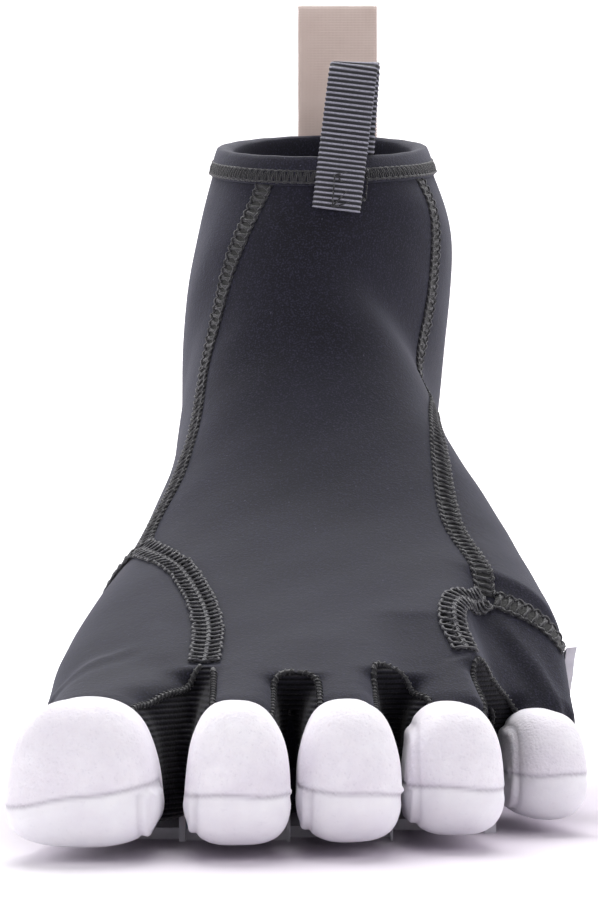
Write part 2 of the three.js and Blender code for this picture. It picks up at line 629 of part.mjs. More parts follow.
// The outline of a hairpin, as [distance from its middle, height above the bend].
function hairpin(height, thick) {
  const leg = (out) => Array.from({ length: 13 }, (_, i) => {
    const f = Math.sin((i / 12) * (Math.PI / 2));
    const swell = LEG_ROOT + (LEG_SWELL - LEG_ROOT) * Math.min(f * 1.4, 1);
    const fade = f > 0.75 ? Math.sqrt(1 - ((f - 0.75) / 0.25) ** 2) : 1;
    return [(swell + out) * fade, (height - thick + out) * f];
  });
  const turned = (points) => points.slice(0, -1).map(([a, b]) => [-a, b]);
  const outer = leg(thick);
  const inner = leg(0);
  return [...outer, ...turned(outer).reverse(), ...turned(inner), ...inner.slice().reverse()];
}

function pullLoop(loop, v, name, material) {
  const rim = formPoint(RIM, v);
  const up = new THREE.Vector3(0, 0, 1);
  const outward = Math.sign(slopes(RIM, v).normal.y);
  const middle = rim.y + outward * loop.out;
  const bend = rim.z + LOOP_AXIS;
  const outline = hairpin(loop.height - LOOP_AXIS, loop.thick).map(([a, b]) => new THREE.Vector2(a, b));
  const g = new THREE.ExtrudeGeometry(new THREE.Shape(outline), { depth: loop.width, bevelEnabled: false });
  g.translate(0, 0, -loop.width / 2);
  g.applyMatrix4(new THREE.Matrix4().makeBasis(new THREE.Vector3(0, 1, 0), up, new THREE.Vector3(1, 0, 0)));
  g.rotateY(THREE.MathUtils.degToRad(loop.lean));
  g.translate(loop.x, middle, bend);
  add(name, solid(g), material);
}

const vAtX = (x, front) => {
  let lo = front ? -0.45 : 0.55;
  let hi = front ? 0.45 : 1.45;
  for (let i = 0; i < 40; i++) {
    const mid = (lo + hi) / 2;
    if ((formPoint(RIM, mid).x < x) === front) lo = mid;
    else hi = mid;
  }
  return (lo + hi) / 2;
};
pullLoop(FRONT_LOOP, vAtX(FRONT_LOOP.x, true), 'front_pull_loop', blackWebbing);
pullLoop(HEEL_LOOP, vAtX(HEEL_LOOP.x, false), 'heel_pull_loop', paleWebbing);

// The sewn-down ends of a loop: flat tabs of webbing outside or inside the binding.
const TAB_TOP = 0.6; // how far the tabs stand above the rim
function tab({ name, loop, x, front, outside, length, layers, material }) {
  const thick = loop.thick * layers;
  const foot = outside ? BINDING_GAP + BINDING_THICK + GAP : inside - BINDING_THICK - GAP - thick;
  const grid = (out) => [0, 0.25, 0.5, 0.75, 1].map((f) => [-1, -0.5, 0, 0.5, 1].map((j) => {
    const v = vAtX(x + (j * loop.width) / 2, front);
    return atRim(v, TAB_TOP - f * length, out);
  }));
  add(name, solid(slab(grid(foot + thick), grid(foot))), material);
}
const frontTab = { loop: FRONT_LOOP, front: true, layers: 1, material: blackWebbing };
tab({ ...frontTab, name: 'front_loop_outer_tab', x: FRONT_LOOP.x - 1.5, outside: true, length: 15 });
tab({ ...frontTab, name: 'front_loop_inner_tab', x: FRONT_LOOP.x + 1.5, outside: false, length: 13 });
tab({
  name: 'heel_loop_tab', loop: HEEL_LOOP, x: HEEL_LOOP.x, front: false, outside: true,
  length: 20, layers: 2, material: paleWebbing,
});

export default boot;
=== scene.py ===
"""The looks of a left five-toe neoprene water boot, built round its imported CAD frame.

Shapes are worked out in millimetres in numpy and turned into Blender meshes in metres at the end.
t is the distance behind the big toe's tip, so y = t - LENGTH / 2. -Y is towards the toes, +X
towards the little toe, and +Z up.
"""

import math

import bmesh
import bpy
import numpy as np
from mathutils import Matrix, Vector
from mathutils.bvhtree import BVHTree


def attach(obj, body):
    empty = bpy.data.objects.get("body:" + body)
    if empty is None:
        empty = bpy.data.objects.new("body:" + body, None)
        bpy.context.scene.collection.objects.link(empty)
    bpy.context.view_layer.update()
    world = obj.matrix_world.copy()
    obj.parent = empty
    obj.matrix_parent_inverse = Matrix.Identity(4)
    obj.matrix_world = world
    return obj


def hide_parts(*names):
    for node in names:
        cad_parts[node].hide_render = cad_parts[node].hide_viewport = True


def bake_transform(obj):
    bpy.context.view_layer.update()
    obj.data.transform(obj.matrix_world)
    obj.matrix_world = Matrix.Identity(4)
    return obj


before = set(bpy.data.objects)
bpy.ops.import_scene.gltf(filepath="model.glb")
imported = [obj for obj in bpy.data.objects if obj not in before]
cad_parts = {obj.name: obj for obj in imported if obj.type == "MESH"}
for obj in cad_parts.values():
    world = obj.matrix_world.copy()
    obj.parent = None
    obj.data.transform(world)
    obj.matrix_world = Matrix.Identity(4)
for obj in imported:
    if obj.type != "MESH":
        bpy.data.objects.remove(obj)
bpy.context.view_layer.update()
rng = np.random.default_rng(7)

# ---------- the foot form, as in the CAD ----------
LENGTH = 268.6
MIDDLE = 1.615  # x of the middle of the bounding box in the tables below
RIM = 10  # the slice at the collar's rim
SHEAR = 0.045
# One row per slice from toes to collar: dorsal t and z, plantar t and z, medial and lateral x,
# height of the waist as a share, and the superellipse powers of the upper and lower halves.
# The medial and lateral x and the upper powers were fitted to the photograph's outline by a
# scratch program, and the seams' shares below were worked back from its seams by another. All
# were then rounded. The fitted values count as a departure.
SLICES = np.array([
    [34, 33, 36, 5, -54, 56, 0.6, 3.4, 3.4],
    [60, 44, 62, 5, -54.6, 57.8, 0.6, 3.3, 3.4],
    [85, 56.5, 88, 5, -53.5, 57.3, 0.54, 3, 3.3],
    [108, 71, 122, 5, -50.4, 56.8, 0.48, 2.6, 3],
    [128, 90, 168, 5, -44.6, 52.4, 0.47, 2.5, 2.8],
    [141, 109, 214, 5, -39.9, 44.7, 0.5, 2.3, 2.7],
    [147, 125, 251, 7.5, -38.2, 40.8, 0.5, 2.2, 2.6],
    [150, 137, 267.2, 38, -36.3, 35.5, 0.5, 2.15, 2.4],
    [152, 148, 260, 95, -35.4, 38.8, 0.5, 2.15, 2.1],
    [153.5, 157, 247, 146, -31.3, 40.4, 0.5, 2.05, 2.1],
    [154.5, 164, 240, 190, -25.2, 32.6, 0.5, 2.05, 2.1],
])
# Seams across the dorsal side, as shares of a slice's half width, one value per slice.
MEDIAL_SEAM = np.array([-0.43, -0.425, -0.555, -0.8, -0.755, -0.725, -0.685, -0.58, -0.465, -0.43, -0.41])
LATERAL_SEAM = np.array([0.48, 0.53, 0.67, 0.565, 0.6, 0.73, 0.83, 0.88, 0.89, 0.84, 0.82])
MEDIAL_TOE_END = 3
LATERAL_TOE_END = 2
# Height of the sole's side wall at the slices it passes.
RAND_MEDIAL = np.array([13, 14, 15, 15, 15, 16, 21])
RAND_LATERAL = np.array([17, 26, 38, 30, 17, 16, 21])


def along(values, s):
    """A smooth curve through evenly spaced values, read at fractional indices."""
    values = np.asarray(values, float)
    s = np.asarray(s, float)
    last = len(values) - 1
    i = np.clip(np.floor(s).astype(int), 0, last - 1)
    f = np.clip(s - i, 0, 1)
    if values.ndim > 1:
        f = f[..., None]
    before = values[np.maximum(i - 1, 0)]
    here, there = values[i], values[i + 1]
    after = values[np.minimum(i + 2, last)]
    first, final = (i == 0), (i + 1 == last)
    if values.ndim > 1:
        first, final = first[..., None], final[..., None]
    m0 = np.where(first, there - here, (there - before) / 2)
    m1 = np.where(final, there - here, (after - here) / 2)
    f2, f3 = f * f, f * f * f
    return (2 * f3 - 3 * f2 + 1) * here + (f3 - 2 * f2 + f) * m0 + (3 * f2 - 2 * f3) * there + (f3 - f2) * m1


def form_points(s, v):
    """Points of the foot form, as x, t, z. v runs round a slice: 0 dorsal, -0.5 medial, 0.5 lateral."""
    s, v = np.broadcast_arrays(np.asarray(s, float), np.asarray(v, float))
    r = along(SLICES, s)
    over = np.maximum(s - RIM, 0)  # past the rim the form carries straight on
    c, q = np.cos(np.pi * v), np.sin(np.pi * v)
    power = np.where(c > 0, r[..., 7], r[..., 8])
    k = (np.abs(c) ** power + np.abs(q) ** power) ** (-1 / power)
    end_t = np.where(c > 0, r[..., 0], r[..., 2])
    end_z = np.where(c > 0, r[..., 1], r[..., 3])
    mid_t = r[..., 2] + (r[..., 0] - r[..., 2]) * r[..., 6]
    mid_z = r[..., 3] + (r[..., 1] - r[..., 3]) * r[..., 6]
    t = mid_t + (end_t - mid_t) * np.abs(c) * k
    z = mid_z + (end_z - mid_z) * np.abs(c) * k + over * 10
    half = (r[..., 5] - r[..., 4]) / 2
    x = (r[..., 5] + r[..., 4]) / 2 + half * q * k + SHEAR * (t - mid_t)
    return np.stack([x, t, z], -1)


def form_normals(s, v, step=0.004):
    s, v = np.broadcast_arrays(np.asarray(s, float), np.asarray(v, float))
    s0, s1 = np.clip(s - step, 0, RIM), np.clip(s + step, 0, RIM)
    ds = (form_points(s1, v) - form_points(s0, v)) / (s1 - s0)[..., None]
    dv = (form_points(s, v + step) - form_points(s, v - step)) / (2 * step)
    n = np.cross(dv, ds)
    return n / np.linalg.norm(n, axis=-1, keepdims=True), ds, dv


def lifted(s, v, height):
    n = form_normals(s, v)[0]
    return form_points(s, v) + n * np.asarray(height)[..., None]


def form_place(p):
    """s, v and the radial factor (1 on the form) of points x, t, z. Inverse of form_points."""
    x, t, z = p[:, 0], p[:, 1], p[:, 2]
    lo, hi = np.zeros(len(p)), np.full(len(p), float(RIM))
    for _ in range(26):
        mid = (lo + hi) / 2
        r = along(SLICES, mid)
        # Which side of the slice's line from plantar to dorsal point.
        side = (r[:, 0] - r[:, 2]) * (z - r[:, 3]) - (r[:, 1] - r[:, 3]) * (t - r[:, 2])
        ahead = side < 0  # the point lies further towards the heel and collar
        lo, hi = np.where(ahead, mid, lo), np.where(ahead, hi, mid)
    s = (lo + hi) / 2
    r = along(SLICES, s)
    mid_t = r[:, 2] + (r[:, 0] - r[:, 2]) * r[:, 6]
    mid_z = r[:, 3] + (r[:, 1] - r[:, 3]) * r[:, 6]
    up_t, up_z = r[:, 0] - mid_t, r[:, 1] - mid_z
    down_t, down_z = r[:, 2] - mid_t, r[:, 3] - mid_z
    up = ((t - mid_t) * up_t + (z - mid_z) * up_z) / (up_t ** 2 + up_z ** 2)
    down = ((t - mid_t) * down_t + (z - mid_z) * down_z) / (down_t ** 2 + down_z ** 2)
    n = np.where(up > 0, up, -down)
    xn = (x - (r[:, 5] + r[:, 4]) / 2 - SHEAR * (t - mid_t)) / ((r[:, 5] - r[:, 4]) / 2)
    power = np.where(n > 0, r[:, 7], r[:, 8])
    factor = (np.abs(xn) ** power + np.abs(n) ** power) ** (1 / power)
    return s, np.arctan2(xn, n) / np.pi, factor


def v_of_share(s, share):
    power = along(SLICES[:, 7], s)
    up = (1 - np.abs(share) ** power) ** (1 / power)
    return np.arctan2(share, up) / np.pi


def medial_seam(s):
    return v_of_share(s, along(MEDIAL_SEAM, s))


def lateral_seam(s):
    return v_of_share(s, along(LATERAL_SEAM, s))


def smoothstep(x, a, b):
    f = np.clip((x - a) / (b - a), 0, 1)
    return f * f * (3 - 2 * f)


# ---------- the toes ----------
TOE_BOTTOM = 2.6
TOE_SPLIT = 12.4
CAP_LENGTH = 19
RUBBER = 1.6


class Toe:
    """One toe. tip and hinge are distances behind the big toe's tip."""

    def __init__(self, number, tip, hinge, x, half, top, taper, tilt):
        self.number, self.tip, self.hinge, self.taper = number, tip, hinge, taper
        self.x, self.half, self.top = x, half, top
        self.bend_end = tip + CAP_LENGTH + 1
        self.tilt = tilt  # slope of the parting line from left to right
        self.body = f"toe_{number}"
        self.centre = (top[0] + TOE_BOTTOM) / 2

    def share(self, t):
        return np.clip((self.hinge - t) / (self.hinge - self.tip), 0, 1)

    def mid(self, t):
        return self.x[0] + (self.x[1] - self.x[0]) * self.share(t)

    def half_at(self, t):
        return self.half[0] + (self.half[1] - self.half[0]) * np.sin(self.share(t) * np.pi / 2)


TOES = [
    Toe(1, 0, 43, (-41.5, -43.6), (12.4, 14), (31.4, 30), 0.12, 0.15),
    Toe(2, 3, 41, (-16.3, -13.9), (8.5, 10), (32.2, 29.3), 0.08, 0.0),
    Toe(3, 8, 46, (4.8, 7.1), (8.5, 9.9), (34, 29.3), 0.08, -0.06),
    Toe(4, 19, 59, (25.2, 27.9), (8.3, 9.7), (38.6, 28.3), 0.08, -0.04),
    Toe(5, 48, 78, (46.2, 49.6), (7.8, 8.6), (39.5, 25.4), 0.08, 0.0),
]
# The gaps between toes in plan: left and right edges as (x, t) at the caps and at the web.
GAPS = [
    dict(left=((-35, 19), (-24.5, 38)), right=((-19.6, 19), (-19.9, 38)), web=40.0),
    dict(left=((-8.2, 22), (-8.2, 36)), right=((1.3, 27), (1.1, 36)), web=38.2),
    dict(left=((12.2, 27), (12.0, 42)), right=((23.6, 38), (20.2, 42)), web=44.6),
    dict(left=((34.8, 38), (32.0, 56)), right=((43.4, 60), (42.8, 66)), web=54.5),
]
WEB_SLANT = (0, 0, 0, 1.25)  # how much further back a web lies per mm towards the little toe
SLANT_X = 33.5  # where the slanting web is as far back as its gap says
WEB_X = [-60, -30, -26, -4, 2, 16, 26, 33, 37, 42, 44, 60]
WEB_T = [34, 37, 39, 36.5, 37.5, 43, 46.5, 53, 57.5, 64, 66, 69]


def web_line(x):
    """How far behind the tips the body of the boot starts, between and under the toes."""
    return np.interp(x, WEB_X, WEB_T)


# ---------- meshes as arrays ----------
def to_row(p):
    """Millimetres (x, t, z) to metres in the row frame."""
    p = np.asarray(p, float)
    return (p - [MIDDLE, LENGTH / 2, 0]) / 1000


def tube_faces(rings, sides, closed=False):
    """Faces of rings of points joined side to side. closed also joins the last ring to the first."""
    faces = []
    for i in range(rings if closed else rings - 1):
        j = (i + 1) % rings
        for k in range(sides):
            m = (k + 1) % sides
            faces.append((i * sides + k, i * sides + m, j * sides + m, j * sides + k))
    return faces


def capped_faces(rings, sides):
    last = (rings - 1) * sides
    return tube_faces(rings, sides) + [
        tuple(range(sides))[::-1], tuple(last + k for k in range(sides)),
    ]


def new_mesh(name, points, faces):
    mesh = bpy.data.meshes.new(name)
    mesh.from_pydata([tuple(p) for p in to_row(points)], [], [tuple(f) for f in faces])
    mesh.validate()
    return mesh


def outward(mesh):
    """Turns the faces of a closed mesh outwards."""
    bm = bmesh.new()
    bm.from_mesh(mesh)
    bmesh.ops.recalc_face_normals(bm, faces=bm.faces)
    bm.to_mesh(mesh)
    bm.free()


def add_piece(name, points, faces, smooth=True, recalc=True):
    mesh = new_mesh(name, points, faces)
    if recalc:
        outward(mesh)
    mesh.polygons.foreach_set("use_smooth", [smooth] * len(mesh.polygons))
    obj = bpy.data.objects.new(name, mesh)
    bpy.context.scene.collection.objects.link(obj)
    return obj


def triangles_of(obj):
    """Vertices in millimetres and triangles of an object with its modifiers."""
    graph = bpy.context.evaluated_depsgraph_get()
    mesh = obj.evaluated_get(graph).to_mesh()
    mesh.calc_loop_triangles()
    co = np.empty(len(mesh.vertices) * 3)
    mesh.vertices.foreach_get("co", co)
    tri = np.empty(len(mesh.loop_triangles) * 3, np.int32)
    mesh.loop_triangles.foreach_get("vertices", tri)
    obj.evaluated_get(graph).to_mesh_clear()
    return co.reshape(-1, 3) * 1000 + [MIDDLE, LENGTH / 2, 0], tri.reshape(-1, 3)


def edges_of(tri):
    e = np.sort(np.concatenate([tri[:, [0, 1]], tri[:, [1, 2]], tri[:, [2, 0]]]), 1)
    return np.unique(e, axis=0)


def relax(points, tri, rounds, amount=0.5):
    """Laplacian smoothing, with a counter step so that the shape doesn't shrink."""
    e = edges_of(tri)
    degree = np.bincount(e.ravel(), minlength=len(points))[:, None]
    for _ in range(rounds):
        for step in (amount, -amount * 1.04):
            total = np.zeros_like(points)
            for axis in range(3):
                total[:, axis] = np.bincount(e[:, 0], points[e[:, 1], axis], len(points))
                total[:, axis] += np.bincount(e[:, 1], points[e[:, 0], axis], len(points))
            points = points + step * (total / degree - points)
    return points


def vertex_normals(points, tri):
    a, b, c = points[tri[:, 0]], points[tri[:, 1]], points[tri[:, 2]]
    face = np.cross(b - a, c - a)
    n = np.zeros_like(points)
    for axis in range(3):
        for corner in range(3):
            n[:, axis] += np.bincount(tri[:, corner], face[:, axis], len(points))
    return n / np.maximum(np.linalg.norm(n, axis=1, keepdims=True), 1e-12)


def compact(rows, tri):
    used, inverse = np.unique(tri, return_inverse=True)
    return rows[used], inverse.reshape(-1, 3)


def cut(rows, tri, f, margin=0.12):
    """Cuts a mesh along f = 0. rows holds one row of values per vertex, position first.

    Returns the part where f > 0, the part where f < 0, and the segments of the line, as points.
    """
    f = f.copy()
    e = edges_of(tri)
    crossing = e[(f[e[:, 0]] > 0) != (f[e[:, 1]] > 0)]
    share = np.abs(f[crossing]) / np.maximum(np.abs(f[crossing]).sum(1, keepdims=True), 1e-12)
    for side in (0, 1):  # a vertex very near the line is taken to be on it
        f[crossing[share[:, side] < margin, side]] = 0
    sign = np.sign(f).astype(int)
    mixed = (sign[tri].min(1) < 0) & (sign[tri].max(1) > 0)
    whole = tri[~mixed]
    top = sign[whole].max(1) > 0
    positive, negative = [whole[top]], [whole[~top]]
    split = tri[mixed]
    key = {}
    extra = []

    def between(i, j):
        pair = (min(i, j), max(i, j))
        if pair not in key:
            w = f[i] / (f[i] - f[j])
            key[pair] = len(rows) + len(extra)
            extra.append(rows[i] * (1 - w) + rows[j] * w)
        return key[pair]

    segments = []
    pos, neg = [], []
    for corners in split:
        signs = sign[corners]
        if (signs == 0).any():
            k = int(np.argmax(signs == 0))
            o, a, b = np.roll(corners, -k)
            m = between(a, b)
            (pos if sign[a] > 0 else neg).append((o, a, m))
            (pos if sign[b] > 0 else neg).append((o, m, b))
            segments.append((o, m))
            continue
        k = int(np.argmax(signs == (1 if (signs > 0).sum() == 1 else -1)))
        o, a, b = np.roll(corners, -k)
        m, n = between(o, a), between(o, b)
        lone, rest = (pos, neg) if sign[o] > 0 else (neg, pos)
        lone.append((o, m, n))
        rest.extend([(m, a, b), (m, b, n)])
        segments.append((m, n))
    # An edge that lies on the line already is part of it too.
    on_line = ((sign[whole] == 0).sum(1) == 2) & (sign[whole].max(1) > 0)
    for corners in whole[on_line]:
        k = int(np.argmax(sign[corners] != 0))
        segments.append((corners[(k + 1) % 3], corners[(k + 2) % 3]))
    all_rows = np.vstack([rows, np.array(extra)]) if extra else rows
    plus = np.vstack([positive[0], np.array(pos, int).reshape(-1, 3)])
    minus = np.vstack([negative[0], np.array(neg, int).reshape(-1, 3)])
    lines = chain(all_rows, segments)
    return compact(all_rows, plus), compact(all_rows, minus), lines


def chain(rows, segments):
    """Joins segments into open or closed lines of points. Longest first."""
    links = {}
    for a, b in segments:
        if a == b:
            continue
        links.setdefault(a, set()).add(b)
        links.setdefault(b, set()).add(a)
    lines = []
    left = set(links)
    ends = [k for k in links if len(links[k]) == 1] + list(links)
    for start in ends:
        if start not in left:
            continue
        path = [start]
        left.discard(start)
        while True:
            ahead = [k for k in links[path[-1]] if k in left]
            if not ahead:
                break
            path.append(ahead[0])
            left.discard(ahead[0])
        if len(path) > 2:
            closed = path[0] in links[path[-1]] and len(path) > 3
            lines.append((rows[path + [path[0]] if closed else path], len(path)))
    return [line for line, _ in sorted(lines, key=lambda pair: -pair[1])]


def resample(line, spacing, rounds=6):
    """Evenly spaced points along a line, smoothed. Rows carry other values with the points."""
    def even(rows, step):
        d = np.linalg.norm(np.diff(rows[:, :3], axis=0), axis=1)
        at = np.concatenate([[0], np.cumsum(d)])
        count = max(int(round(at[-1] / step)), 2)
        wanted = np.linspace(0, at[-1], count + 1)
        return np.stack([np.interp(wanted, at, rows[:, k]) for k in range(rows.shape[1])], 1)

    rows = even(line, 1.0)
    for _ in range(rounds):
        rows[1:-1] = rows[1:-1] * 0.5 + (rows[:-2] + rows[2:]) * 0.25
    return even(rows, spacing)


# ---------- the skin: body and toes joined into one surface ----------
SKIN_VOXEL = 1.25
WALL_SLOPE = 0.4  # the wall between two toes leans back towards the sole
WALL_TOP = 33
CUT_HEIGHT = 6.5  # the skin stops here, inside the sole


def form_height(x, t):
    """Height of the form's top at x and t, both arrays."""
    x, t = np.broadcast_arrays(np.asarray(x, float), np.asarray(t, float))
    lo, hi = np.full(x.shape, 20.0), np.full(x.shape, 90.0)
    for _ in range(20):
        mid = (lo + hi) / 2
        factor = form_place(np.stack([x, t, mid], -1).reshape(-1, 3))[2].reshape(x.shape)
        inside = factor < 1
        lo, hi = np.where(inside, mid, lo), np.where(inside, hi, mid)
    return lo


class ToeTop:
    """The line along the top of a toe, from its cap up to the instep."""

    def __init__(self, toe):
        self.back = toe.tip + CAP_LENGTH
        self.join = toe.hinge + (13 if toe.number == 5 else 7)
        self.low = toe.top[1] - 0.9
        self.high = float(form_height(toe.mid(self.join), self.join))
        grid = np.arange(34.5, self.join + 0.5, 0.5)
        form = form_height(toe.mid(grid), grid)
        self.grid = grid
        self.fall = np.maximum(form - self.height(grid), 0) * smoothstep(-grid, -self.join, -self.join + 3)

    def height(self, t):
        rise = np.clip((t - self.back + 2) / (self.join - self.back + 2), 0, 1)
        return self.low + (self.high - self.low) * rise ** 1.1

    def drop(self, t):
        """How far below the form the top lies."""
        return np.interp(t, self.grid, self.fall, right=0.0)


TOE_TOPS = [ToeTop(toe) for toe in TOES]


def drop_at(x, t, z):
    """How far the skin lies below the form: it falls towards the toes."""
    total, weight = 0, 0
    for toe, line in zip(TOES, TOE_TOPS):
        w = np.exp(-(((x - toe.mid(t)) / (toe.half[0] * 1.1)) ** 2)) + 1e-9
        total = total + w * line.drop(t)
        weight = weight + w
    return total / weight * smoothstep(z, 10, 30)


def body_shell():
    s = np.concatenate([np.arange(0, 3, 0.06), np.arange(3, RIM + 0.35, 0.1)])
    v = np.linspace(-1, 1, 121)[:-1]
    p = form_points(s[:, None], v[None, :])
    p[..., 2] -= drop_at(p[..., 0], p[..., 1], p[..., 2])
    wall = web_line(p[..., 0]) + WALL_SLOPE * np.maximum(WALL_TOP - p[..., 2], 0)
    p[..., 1] = np.maximum(p[..., 1], wall)
    return p.reshape(-1, 3), capped_faces(len(s), len(v))


def gap_edges(gap, t):
    (lx0, lt0), (lx1, lt1) = gap["left"]
    (rx0, rt0), (rx1, rt1) = gap["right"]
    return np.interp(t, [lt0, lt1], [lx0, lx1]), np.interp(t, [rt0, rt1], [rx0, rx1])


def side_reach(toe, t, side, hidden):
    """How far a toe's cloth stands out sideways. It runs on past the edge of the gap beside it."""
    half = toe.half_at(t) - 0.7 - 1.3 * hidden - 3 * smoothstep(t, toe.hinge, toe.hinge + 8)
    i = toe.number - 1 if side > 0 else toe.number - 2
    if not 0 <= i < len(GAPS):
        return half
    edge = (gap_edges(GAPS[i], t)[0 if side > 0 else 1] - toe.mid(t)) * side
    return max(half, edge + 1.8 - 5 * hidden)


def toe_shell(toe, line, sides=40):
    """The cloth of a toe, from under its cap back into the body."""
    rings = []
    for t in np.linspace(toe.tip + 4, line.join + 8, 30):
        hidden = 1 - smoothstep(t, line.back - 1, line.back + 3)
        top = line.height(t) - 1.1 * hidden
        bottom = TOE_BOTTOM + 2 + 8 * smoothstep(t, toe.hinge - 1, toe.hinge + 6)
        a = np.linspace(0, 2 * np.pi, sides, endpoint=False)
        c, q = np.cos(a), np.sin(a)
        half = np.where(c > 0, side_reach(toe, t, 1, hidden), side_reach(toe, t, -1, hidden))
        power = 2.7 + np.clip(half - toe.half_at(t) + 0.7, 0, 3)  # a flared side has a high shoulder
        k = (np.abs(c) ** power + np.abs(q) ** power) ** (-1 / power)
        across = half * c * k * (1 - toe.taper * q * k)
        rings.append(np.stack([
            toe.mid(t) + across, np.full(sides, t), (top + bottom) / 2 + (top - bottom) / 2 * q * k,
        ], -1))
    return np.concatenate(rings), capped_faces(len(rings), sides)


def smooth_min(a, b, k):
    h = np.clip(0.5 + 0.5 * (b - a) / k, 0, 1)
    return b * (1 - h) + a * h - k * h * (1 - h)


def gap_field(gap, p):
    """Millimetres inside a gap between two toes, in plan, with a rounded end at the web."""
    t = p[:, 1] - WALL_SLOPE * np.maximum(WALL_TOP - p[:, 2], 0)
    left, right = gap_edges(gap, t)
    wider = 0.6 * np.maximum(26 - p[:, 2], 0)  # below the edges all of the wall is knit
    inside = np.minimum(p[:, 0] - left, right - p[:, 0]) + wider
    slant = WEB_SLANT[GAPS.index(gap)]
    ahead = gap["web"] + slant * (p[:, 0] - SLANT_X) - t
    return smooth_min(inside, ahead / math.hypot(1, slant), 2.5)


def gap_middle(gap, t):
    left, right = gap_edges(gap, t)
    return (left + right) / 2


def ridge(p, start, end, height, width, sharp=1.0):
    """A soft fold of the cloth along a line in plan."""
    start, end = np.array(start, float), np.array(end, float)
    length = np.linalg.norm(end - start)
    along_line = (end - start) / length
    rel = p[:, :2] - start
    u = rel @ along_line
    d = rel @ np.array([along_line[1], -along_line[0]])
    ends = smoothstep(u, -4, 3) * smoothstep(-u, -length - 4, -length + 3)
    crest = np.exp(-(np.abs(d) / width) ** sharp)
    hollow = 0.35 * np.exp(-((d - 2 * width) / width) ** 2)
    return height * ends * (crest - hollow)


def build_skin():
    shells = [body_shell()] + [toe_shell(toe, line) for toe, line in zip(TOES, TOE_TOPS)]
    points, faces = [], []
    for p, f in shells:
        base = sum(len(q) for q in points)
        points.append(p)
        faces += [tuple(base + k for k in face) for face in f]
    obj = add_piece("skin_work", np.concatenate(points), faces)
    remesh = obj.modifiers.new("remesh", "REMESH")
    remesh.mode = "VOXEL"
    remesh.voxel_size = SKIN_VOXEL / 1000
    p, tri = triangles_of(obj)
    bpy.data.objects.remove(obj)
    p = relax(p, tri, 8)
    # Away from the toes the form itself gives the surface exactly.
    drop = drop_at(p[:, 0], p[:, 1], p[:, 2])
    raised = p + np.stack([drop * 0, drop * 0, drop], 1)
    s, v, _ = form_place(raised)
    on_form = smoothstep(p[:, 1], web_line(p[:, 0]) + 10, web_line(p[:, 0]) + 22)
    on_form = on_form * (p[:, 2] > 7) * (s > 0.3) * (s < RIM - 0.02)
    p = p + (form_points(s, v) - raised) * on_form[:, None]
    # Soft waves, the folds at the little toe and the big toe, and a dip along each seam.
    n = vertex_normals(p, tri)
    wave = 0.16 * np.sin(p[:, 0] * 0.11 + p[:, 1] * 0.07) * np.sin(p[:, 2] * 0.13 + 1)
    wave += 0.1 * np.sin(p[:, 0] * 0.23 - p[:, 1] * 0.19 + 2) * np.sin(p[:, 2] * 0.21 + p[:, 1] * 0.05)
    upper = smoothstep(p[:, 2], 8, 20)
    wave += ridge(p, (42.8, 81), (56.4, 66), 0.9, 2.0, 1.5) * upper
    wave += ridge(p, (-52.5, 37), (-39, 50), 0.45, 1.6, 1.5) * upper
    wave += ridge(p, (-30, 44), (-33, 60), 0.4, 3) * upper
    _, _, dv = form_normals(s, v)
    around = np.linalg.norm(dv, axis=1)
    for seam in (medial_seam, lateral_seam):
        d = np.abs(v - seam(s)) * around
        wave -= 0.45 * np.exp(-(d / 2.4) ** 2) * (np.cos(np.pi * v) > 0) * (p[:, 1] > web_line(p[:, 0]) + 2)
    p = p + n * (wave * (p[:, 2] > 7))[:, None]
    columns = [p, vertex_normals(p, tri), s[:, None]]
    columns += [np.cos(np.pi * v)[:, None], np.sin(np.pi * v)[:, None]]
    return np.hstack(columns), tri


# ---------- cutting the skin into its pieces ----------
NORMALS = slice(3, 6)  # columns of the skin's rows
S = 6


def v_of(rows):
    return np.arctan2(rows[:, 8], rows[:, 7]) / np.pi


CLOTH = 1.3  # the toes' thinner cloth
CLOTH_END = 12  # how far under a cap its cloth reaches, from the tip
BEND_LINES = (40.0, 39.0, 41.0, 50.0, 77.0)  # t at which each toe's cloth starts to bend


def cloth_piece(name, part, thickness):
    """A closed sheet of cloth: the given outer surface and the same surface moved inwards."""
    rows, tri = part
    p, n = rows[:, :3], rows[:, NORMALS]
    n = n / np.maximum(np.linalg.norm(n, axis=1, keepdims=True), 1e-9)
    inner = p - n * thickness
    count = len(p)
    directed = {}
    for a, b, c in tri.tolist():
        for edge in ((a, b), (b, c), (c, a)):
            directed[edge] = True
    border = [(a, b) for a, b in directed if (b, a) not in directed]
    faces = [tuple(f) for f in tri.tolist()]
    faces += [(c + count, b + count, a + count) for a, b, c in tri.tolist()]
    faces += [(b, a, a + count, b + count) for a, b in border]
    mesh = bpy.data.meshes.new(name)
    mesh.from_pydata([tuple(q) for q in to_row(np.vstack([p, inner]))], [], faces)
    mesh.polygons.foreach_set("use_smooth", [True] * len(mesh.polygons))
    loops = np.empty(len(mesh.loops), np.int32)
    mesh.loops.foreach_get("vertex_index", loops)
    normals = np.vstack([n, -n])[loops]
    if border:
        edge_loops = np.arange(len(tri) * 6, len(loops))
        ring = np.vstack([p, inner])[loops[edge_loops]].reshape(-1, 4, 3)
        face = np.cross(ring[:, 1] - ring[:, 0], ring[:, 3] - ring[:, 0])
        face /= np.maximum(np.linalg.norm(face, axis=1, keepdims=True), 1e-9)
        normals[edge_loops] = np.repeat(face, 4, axis=0)
    mesh.normals_split_custom_set([tuple(q) for q in normals])
    obj = bpy.data.objects.new(name, mesh)
    bpy.context.scene.collection.objects.link(obj)
    return obj


